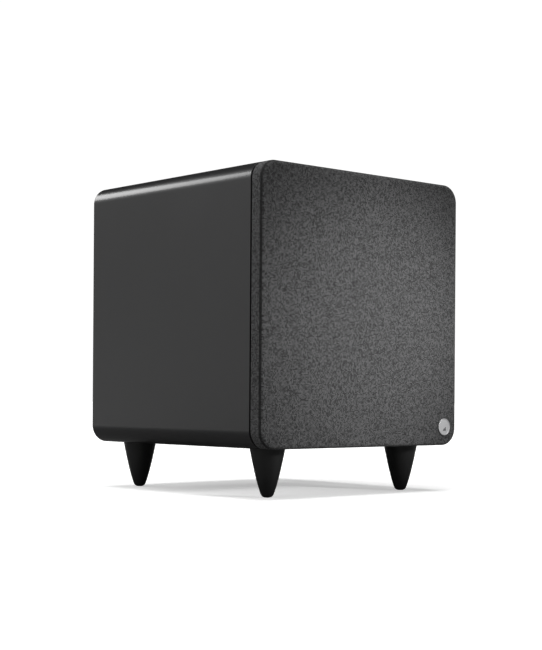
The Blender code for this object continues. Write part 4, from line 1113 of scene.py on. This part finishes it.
    def add_suspension(self):
        place, low, high = on_baffle("woofer_surround")
        outline = [(radius, low.z + height) for radius, height in roll_outline()]
        piece(turned(outline, 112), "rubber_surround", "cabinet", "black_rubber", place,
              ["woofer_surround"], sharp=60.0)
        place, low, high = on_baffle("woofer_spider")
        inner, flat, rolls, thick = 31 * MM, 60 * MM, 4, 0.5 * MM
        wave = high.z - low.z - thick
        steps = rolls * 10
        under = []
        for step in range(steps + 1):
            share = step / steps
            lift = wave * (1 - math.cos(WHOLE_TURN * rolls * share)) / 2
            under.append((inner + (flat - inner) * share, low.z + lift))
        under.append((high.x, low.z))
        upper = [(radius, height + thick) for radius, height in under]
        piece(turned(upper + under[::-1], 72), "corrugated_spider", "cabinet", "doped_cloth",
              place, ["woofer_spider"], sharp=60.0, threads=True)
        rim = inner - 0.6 * MM
        collar = turned([(NECK_RADIUS, low.z + thick), (rim, low.z + thick), (rim, low.z),
                         (NECK_RADIUS, low.z)])
        piece(collar, "spider_collar", "woofer_moving_parts", "doped_cloth", place, sharp=60.0,
              threads=True)

    def add_fixings(self):
        place, low, high = on_baffle("woofer_gasket")
        inner, soft = 97 * MM, 0.2 * MM
        outline = filleted([(inner, high.z, soft), (high.x, high.z, soft), (high.x, low.z, soft),
                            (inner, low.z, soft)], 2)
        piece(turned(outline, 96), "foam_gasket", "cabinet", "black_rubber", place,
              ["woofer_gasket"])
        for index in range(1, 7):
            node = f"woofer_screw_{index}"
            place, low, high = on_baffle(node)
            piece(socket_screw(high.z, -0.2 * MM, 3.3 * MM, 1.9 * MM, low.z), f"hex_{node}",
                  "cabinet", "zinc_steel", place, [node])


def roll_outline():
    """A half-roll surround with a lip on each side, from height 0 at the lips' underside."""
    roll, centre, thick, lip = 8.5 * MM, 83 * MM, 1 * MM, 4.5 * MM
    inner, outer = centre - roll, centre + roll
    arcs = []
    for radius, ends in ((roll + thick, (8, 172)), (roll, (176, 4))):
        start, stop = (math.radians(end) for end in ends)
        arcs.append([(centre + radius * math.cos(start + (stop - start) * step / 20),
                      radius * math.sin(start + (stop - start) * step / 20))
                     for step in range(21)])
    crown, hollow = arcs
    return ([(outer + lip, 0), (outer + lip, thick)] + crown
            + [(inner - lip, thick), (inner - lip, 0)] + hollow)


def socket_screw(top, seat_height, head_radius, shank_radius, tip):
    """A cap screw along local Z with a six-sided recess in its head."""
    recess, deep, steps = 1.6 * MM, 1.4 * MM, 24
    outline = filleted([(recess * 1.2, top, 0), (head_radius, top, 0.7 * MM),
                        (head_radius, seat_height, 0.2 * MM), (shank_radius, seat_height, 0),
                        (shank_radius, tip + 2 * MM, 0.5 * MM), (0, tip, 0)], 4)
    bm = turned(outline, steps, closed=False)
    rim = carried(bm, open_edges(bm), Matrix.Identity(4))
    for vert in {vert for edge in rim for vert in edge.verts}:
        turn = math.atan2(vert.co.y, vert.co.x) % (math.pi / 3) - math.pi / 6
        reach = recess * math.cos(math.pi / 6) / math.cos(turn)
        vert.co.xy = vert.co.xy.normalized() * reach
    floor = carried(bm, rim, Matrix.Translation((0, 0, -deep)))
    bmesh.ops.holes_fill(bm, edges=floor, sides=steps)
    return bm


class SUBWOOFER_OT_radiator(bpy.types.Operator):
    """Builds the passive radiator in the cabinet's floor"""
    bl_idname = "subwoofer.radiator"
    bl_label = "Passive Radiator"

    def execute(self, context):
        inner = 93.2 * MM
        place, low, high = on_underside("radiator_frame")
        lip, collar = high.z - 4 * MM, 2.4 * MM
        outline = filleted([
            (inner, high.z, 0.6 * MM), (high.x, high.z, 0.8 * MM), (high.x, lip, 0.4 * MM),
            (inner + collar, lip, 1 * MM), (inner + collar, low.z, 0.8 * MM),
            (inner, low.z, 0.8 * MM)], 4)
        piece(turned(outline, 96), "radiator_ring", "cabinet", "cast_basket", place,
              ["radiator_frame"])
        place, low, high = on_underside("radiator_surround")
        outline = [(radius, high.z - height) for radius, height in roll_outline()]
        piece(turned(outline, 112), "radiator_rubber", "cabinet", "black_rubber", place,
              ["radiator_surround"], sharp=60.0)
        body = "radiator_moving_parts"
        place, low, high = on_underside("radiator_cone")
        outline = filleted([
            (0, -7 * MM, 0), (40 * MM, -7 * MM, 6 * MM), (62 * MM, -3.5 * MM, 8 * MM),
            (69 * MM, high.z, 3 * MM), (high.x, high.z, 0), (high.x, high.z - 1.5 * MM, 0),
            (66 * MM, -9 * MM, 4 * MM), (40 * MM, low.z, 6 * MM), (0, low.z, 0)], 8)
        piece(turned(outline, 96), "flat_radiator_cone", body, "paper_cone", place,
              ["radiator_cone"], sharp=50.0)
        place, low, high = on_underside("radiator_weight")
        outline = filleted([
            (0, high.z, 0), (high.x, high.z, 0.5 * MM), (high.x, -22 * MM, 1.5 * MM),
            (7 * MM, -22 * MM, 0.3 * MM), (6.5 * MM, low.z, 0.8 * MM), (0, low.z, 0)], 4)
        piece(turned(outline, 64), "tuning_weight", body, "zinc_steel", place,
              ["radiator_weight"])
        screws = repeated(socket_screw(1.7 * MM, -0.4 * MM, 3.2 * MM, 1.8 * MM, -6 * MM),
                          circle_places(101 * MM, 6, math.radians(30)))
        piece(screws, "radiator_screws", "cabinet", "zinc_steel", DOWN_SEAT)
        return {"FINISHED"}


class SUBWOOFER_OT_amplifier(bpy.types.Operator):
    """Finishes the amplifier plate and builds what is fixed to it"""
    bl_idname = "subwoofer.amplifier"
    bl_label = "Amplifier"

    def execute(self, context):
        for node, finish_name in (
                ("amp_plate", "black_anodised"), ("heatsink", "black_anodised"),
                ("amp_board", "circuit_green"), ("phase_switch", "zinc_steel"),
                ("mode_switch", "zinc_steel")):
            keep(node, finish_name)
        self.add_plate_screws()
        self.add_transformer()
        self.add_inlet()
        self.add_sockets()
        self.add_lamp()
        return {"FINISHED"}

    def add_plate_screws(self):
        place, low, high = on_plate("amp_plate")
        edge = high.x - 6 * MM
        spots = [(x, y) for x in (-edge, 0, edge) for y in (-edge, 0, edge) if x or y]
        bm = repeated(socket_screw(1.9 * MM, 0.05 * MM, 3.2 * MM, 1.6 * MM, -2.9 * MM),
                      [Matrix.Translation((x, y, 0)) for x, y in spots])
        piece(bm, "plate_screws", "cabinet", "zinc_steel", place)

    def add_transformer(self):
        place, low, high = on_plate("transformer")
        bolt, side, dish = 2.5 * MM, 6 * MM, 2.5 * MM
        face = high.z - 4.8 * MM
        outline = filleted([
            (0, low.z + dish, 0), (15 * MM, low.z + dish, 2 * MM), (20 * MM, low.z, 2 * MM),
            (high.x, low.z, side), (high.x, face, side), (bolt, face, 0), (bolt, high.z, 0.4 * MM),
            (0, high.z, 0)], 6)
        piece(turned(outline, 72), "toroidal_transformer", "cabinet", "copper", place,
              ["transformer"])
        nut = bmesh.new()
        bmesh.ops.create_cone(nut, cap_ends=True, segments=6, radius1=4.4 * MM, radius2=4.4 * MM,
                              depth=1.3 * MM, matrix=Matrix.Translation((0, 0, 0.75 * MM)))
        bevel(nut, edges_at(nut, 2, 1.4 * MM), 0.3 * MM, 2)
        piece(nut, "transformer_nut", "cabinet", "zinc_steel", place)

    def add_inlet(self):
        place, low, high = on_plate("power_inlet")
        lip, depth, soft = 0.3 * MM, 17 * MM, 1 * MM
        bezel = block((low.x, low.y, lip), (high.x, high.y, high.z), 2.5 * MM, 2, 6)
        bevel(bezel, edges_at(bezel, 2, high.z), 0.7 * MM, 3)
        x, y, cut = 12.3 * MM, 8.8 * MM, 4.5 * MM
        corners = [(x, y, soft), (-x, y, soft), (-x, -y + cut, soft), (-x + cut, -y, soft),
                   (x - cut, -y, soft), (x, -y + cut, soft)]
        sunk_well(bezel, high.z, corners, depth)
        backed(bezel, lip, (29 / 32, 22 / 28), low.z)
        piece(bezel, "mains_inlet", "cabinet", "moulded_black", place, ["power_inlet"])
        root, tip = high.z - depth - 0.5 * MM, -4 * MM
        wide, tall = 1 * MM, 2 * MM
        blades = []
        for x, y in ((-7 * MM, 2 * MM), (7 * MM, 2 * MM), (0, -2 * MM)):
            blade = block((x - wide, y - tall, root), (x + wide, y + tall, tip))
            bevel(blade, edges_at(blade, 2, tip), 0.6 * MM, 2)
            blades.append(blade)
        piece(joined(*blades), "inlet_pins", "cabinet", "contact_gold", place)

    def add_sockets(self):
        place, low, high = on_plate("input_sockets")
        behind = -3.3 * MM
        spread, barrel, bore = 14 * MM, 4.15 * MM, 1.7 * MM
        body = block((low.x, low.y, low.z), (high.x, high.y, behind), 1.5 * MM, 2, 4)
        piece(body, "input_socket_block", "cabinet", "moulded_black", place, ["input_sockets"])
        for x, colour in ((-spread, "white"), (spread, "red")):
            outline = filleted([
                (bore, behind + 0.1 * MM, 0), (barrel, behind + 0.1 * MM, 0),
                (barrel, high.z, 0.4 * MM), (bore, high.z, 0.3 * MM)], 3)
            shift = place @ Matrix.Translation((x, 0, 0))
            piece(turned(outline, 48), f"socket_barrel_{colour}", "cabinet", "contact_gold", shift)
            outline = filleted([
                (barrel + 0.05 * MM, 0.05 * MM, 0), (7 * MM, 0.05 * MM, 0.2 * MM),
                (7 * MM, 1.3 * MM, 0.5 * MM), (barrel + 0.05 * MM, 1.3 * MM, 0.2 * MM)], 4)
            piece(turned(outline, 48), f"socket_ring_{colour}", "cabinet", f"ring_{colour}", shift)

    def add_lamp(self):
        place, low, high = on_plate("status_led")
        outline = filleted([(0, high.z, 0), (high.x, high.z, 1.4 * MM), (high.x, low.z, 0.3 * MM),
                            (0, low.z, 0)], 6)
        piece(turned(outline, 32), "status_lamp", "cabinet", "led_blue", place, ["status_led"])


class SUBWOOFER_OT_controls(bpy.types.Operator):
    """Builds the knobs, the sliders, the power rocker and the printed scales"""
    bl_idname = "subwoofer.controls"
    bl_label = "Controls"

    def execute(self, context):
        for name in ("volume", "crossover"):
            self.add_knob(name)
            self.add_scale(name)
        for name in ("phase", "mode"):
            self.add_slider(name)
        self.add_rocker()
        return {"FINISHED"}

    def add_knob(self, name):
        place, low, high = on_plate(f"{name}_knob")
        radius, crown, skirt, shaft = high.x, 1 * MM, 2 * MM, 3 * MM
        flutes, depth = 24, 0.28 * MM
        outline = filleted([
            (0, high.z - 0.4 * MM, 0), (radius - 3 * MM, high.z - 0.4 * MM, 0.5 * MM),
            (radius - 2.6 * MM, high.z, 0.3 * MM), (radius - crown, high.z, 0.8 * MM),
            (radius - 0.5 * MM, skirt + 1.6 * MM, 0.4 * MM), (radius, skirt + 1.2 * MM, 0.3 * MM),
            (radius, skirt, 0.3 * MM), (shaft, skirt, 0), (shaft, low.z, 0.3 * MM),
            (0, low.z, 0)], 4)
        bm = turned(outline, 96)
        for vert in bm.verts:
            reach = math.hypot(vert.co.x, vert.co.y)
            if reach > radius - 1.6 * MM and vert.co.z > skirt + 1.5 * MM:
                turn = math.atan2(vert.co.y, vert.co.x)
                pull = 1 - depth * (1 + math.cos(flutes * turn)) / 2 / reach
                vert.co.x *= pull
                vert.co.y *= pull
        body = f"{name}_control"
        piece(bm, f"fluted_{name}_knob", body, "moulded_black", place, [f"{name}_knob"])
        pointer = block((-0.5 * MM, 3 * MM, high.z - 0.45 * MM),
                        (0.5 * MM, radius - 1.2 * MM, high.z - 0.05 * MM), 0.3 * MM, 2, 3)
        piece(pointer, f"{name}_pointer", body, "legend_print", place)
        place, low, high = on_plate(f"{name}_pot")
        bore, bushing = 3.4 * MM, 4.6 * MM
        outline = filleted([
            (bore, high.z, 0.2 * MM), (bushing, high.z, 0.3 * MM), (bushing, -3.3 * MM, 0),
            (high.x, -3.3 * MM, 0.8 * MM), (high.x, low.z, 0.8 * MM), (0, low.z, 0),
            (0, low.z + 3 * MM, 0), (bore, low.z + 3 * MM, 0)], 4)
        piece(turned_cup(outline, 48), f"rotary_{name}_pot", "cabinet", "zinc_steel", place,
              [f"{name}_pot"])

    def add_scale(self, name):
        """Eleven printed ticks round a knob, longer at the ends and in the middle."""
        place, _, high = on_plate(f"{name}_knob")
        ticks, sweep = 11, math.radians(300)
        shapes = []
        for index in range(ticks):
            turn = sweep * (index / (ticks - 1) - 0.5)
            reach = 2.6 * MM if index in (0, 5, 10) else 1.6 * MM
            start = high.x + 1.8 * MM
            tick = block((-0.25 * MM, start, PRINT_LOW), (0.25 * MM, start + reach, PRINT_HIGH))
            bmesh.ops.transform(tick, matrix=Matrix.Rotation(-turn, 4, "Z"), verts=tick.verts)
            shapes.append(tick)
        piece(joined(*shapes), f"{name}_scale", "cabinet", "legend_print", place)

    def add_slider(self, name):
        node = f"{name}_slider"
        place, low, high = on_plate(node)
        bm = block(low, high, 0.5 * MM, 2, 3)
        bevel(bm, edges_at(bm, 2, high.z), 0.4 * MM, 2)
        piece(bm, f"{name}_slide_cap", f"{name}_control", "moulded_black", place, [node])
        marks = [block((x - 0.25 * MM, 4.4 * MM, PRINT_LOW), (x + 0.25 * MM, 6 * MM, PRINT_HIGH))
                 for x in (0, -4 * MM)]
        piece(joined(*marks), f"{name}_marks", "cabinet", "legend_print", place)

    def add_rocker(self):
        place, low, high = on_plate("power_switch")
        lip = 0.3 * MM
        bezel = block((low.x, low.y, lip), (high.x, high.y, high.z), 1.5 * MM, 2, 5)
        bevel(bezel, edges_at(bezel, 2, high.z), 0.6 * MM, 3)
        x, y, soft, base = 6.4 * MM, 10.2 * MM, 0.6 * MM, 1.5 * MM
        corners = [(x, y, soft), (-x, y, soft), (-x, -y, soft), (x, -y, soft)]
        sunk_well(bezel, high.z, corners, high.z - low.z - base)
        backed(bezel, lip, (15 / 17, 22.4 / 25), low.z)
        piece(bezel, "rocker_bezel", "cabinet", "moulded_black", place, ["power_switch"])
        self.add_rocker_cap()

    def add_rocker_cap(self):
        """The rocker's side view is a round belly under two flats that meet in a shallow V."""
        low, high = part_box("power_rocker")
        half = (high.x - low.x) / 2
        pivot = Vector(((low.x + high.x) / 2, PLATE_Y + 0.5 * MM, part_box("power_switch")[0].z
                        + 12.5 * MM))
        radius, rise, dip, tilt = 9.6 * MM, 3.6 * MM, 2.3 * MM, math.radians(8)
        tip = math.asin(rise / radius)
        belly = [(radius * math.cos(angle), radius * math.sin(angle)) for angle in (
            tip - (math.pi + 2 * tip) * step / 32 for step in range(33))]
        bm = bmesh.new()
        verts = [bm.verts.new((-half, y, z)) for z, y in belly + [(0, dip)]]
        face = bm.faces.new(verts)
        grown = bmesh.ops.extrude_face_region(bm, geom=[face])["geom"]
        bmesh.ops.translate(bm, vec=(2 * half, 0, 0), verts=verts_of(grown))
        bmesh.ops.recalc_face_normals(bm, faces=bm.faces)
        bevel(bm, [edge for edge in bm.edges if edge.calc_face_angle(0) > math.radians(40)],
              0.35 * MM, 3)
        place = Matrix.Translation(pivot) @ Matrix.Rotation(tilt, 4, "X")
        piece(bm, "rocker_cap", "power_control", "moulded_black", place, ["power_rocker"])


class SUBWOOFER_OT_soft_parts(bpy.types.Operator):
    """Lays the speaker lead and the wadding inside the cabinet"""
    bl_idname = "subwoofer.soft_parts"
    bl_label = "Lead and Wadding"

    def execute(self, context):
        self.add_lead()
        self.add_wadding()
        return {"FINISHED"}

    def add_lead(self):
        """Two insulated cores side by side along the lead's route."""
        low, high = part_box("speaker_lead")
        start = high.y
        route = [(74, 0, 46), (74, -9, 46), (80, -24, 47), (91, -42, 54), (96.5, -57, 60),
                 (96.5, -69, 61), (93, -92, 53), (84, -118, 47), (73, -144, 49), (65, -161, 56),
                 (61, -171, 61)]
        points = [Vector((x * MM, start + y * MM, CENTRE.z + z * MM)) for x, y, z in route]
        core = 1.1 * MM
        for side, offset in (("left", -core), ("right", core)):
            curve = bpy.data.curves.new(f"lead_core_{side}", "CURVE")
            curve.dimensions = "3D"
            curve.bevel_depth = core
            curve.bevel_resolution = 3
            curve.use_fill_caps = True
            spline = curve.splines.new("BEZIER")
            spline.bezier_points.add(len(points) - 1)
            for knot, point in zip(spline.bezier_points, points):
                knot.co = point + Vector((0, 0, offset))
                knot.handle_left_type = knot.handle_right_type = "AUTO"
            obj = bpy.data.objects.new(f"lead_core_{side}", curve)
            curve.materials.append(finish("black_rubber"))
            bpy.context.scene.collection.objects.link(obj)
            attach(obj, "cabinet")
            if side == "left":
                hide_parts("speaker_lead")

    def add_wadding(self):
        """A U-shaped blanket of wadding, uneven by a millimetre or two."""
        low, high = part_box("wadding")
        thick, lumps, swell = 12 * MM, 38.0, 2.2 * MM
        bm = block(low, high, 3.5 * MM, 1, 3)
        bmesh.ops.delete(bm, geom=faces_at(bm, 2, low.z), context="FACES")
        for end in (low.y, high.y):
            drop_faces(bm, 1, end)
        bmesh.ops.recalc_face_normals(bm, faces=bm.faces)
        bmesh.ops.subdivide_edges(bm, edges=bm.edges[:], cuts=14, use_grid_fill=True)
        bmesh.ops.solidify(bm, geom=bm.faces[:], thickness=thick)
        for vert in bm.verts:
            toward = Vector((0, vert.co.y, CENTRE.z - 20 * MM)) - vert.co
            depth = min(high.x - abs(vert.co.x), high.z - vert.co.z)
            if depth > thick / 2:
                vert.co += toward.normalized() * noise.noise(vert.co * lumps) * swell
        blanket = piece(bm, "wadding_blanket", "cabinet", "white_wadding", replaces=["wadding"],
                        sharp=80.0)


class SUBWOOFER_PT_panel(bpy.types.Panel):
    """Lists the builders in the 3D view's sidebar"""
    bl_label = "Cube Subwoofer"
    bl_idname = "SUBWOOFER_PT_panel"
    bl_space_type = "VIEW_3D"
    bl_region_type = "UI"
    bl_category = "Subwoofer"

    def draw(self, context):
        layout = self.layout
        for operator in OPERATORS:
            layout.operator(operator.bl_idname)
        for group in ("subwoofer_sizes", "subwoofer_colours", "subwoofer_studio"):
            settings = getattr(context.scene, group)
            box = layout.box()
            for name in settings.__annotations__:
                box.prop(settings, name)


OPERATORS = (SUBWOOFER_OT_stage, SUBWOOFER_OT_cabinet, SUBWOOFER_OT_feet, SUBWOOFER_OT_grille,
             SUBWOOFER_OT_woofer, SUBWOOFER_OT_radiator, SUBWOOFER_OT_amplifier,
             SUBWOOFER_OT_controls, SUBWOOFER_OT_soft_parts)
SETTINGS = {"subwoofer_sizes": SubwooferSizes, "subwoofer_colours": SubwooferColours,
            "subwoofer_studio": SubwooferStudio}


def register():
    for cls in (*SETTINGS.values(), *OPERATORS, SUBWOOFER_PT_panel):
        bpy.utils.register_class(cls)
    for name, cls in SETTINGS.items():
        setattr(bpy.types.Scene, name, PointerProperty(type=cls))


def unregister():
    for name in SETTINGS:
        delattr(bpy.types.Scene, name)
    for cls in (SUBWOOFER_PT_panel, *reversed(OPERATORS), *SETTINGS.values()):
        bpy.utils.unregister_class(cls)


def main():
    register()
    for operator in OPERATORS:
        group, name = operator.bl_idname.split(".")
        getattr(getattr(bpy.ops, group), name)()
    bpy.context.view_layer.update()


if __name__ == "__main__":
    main()
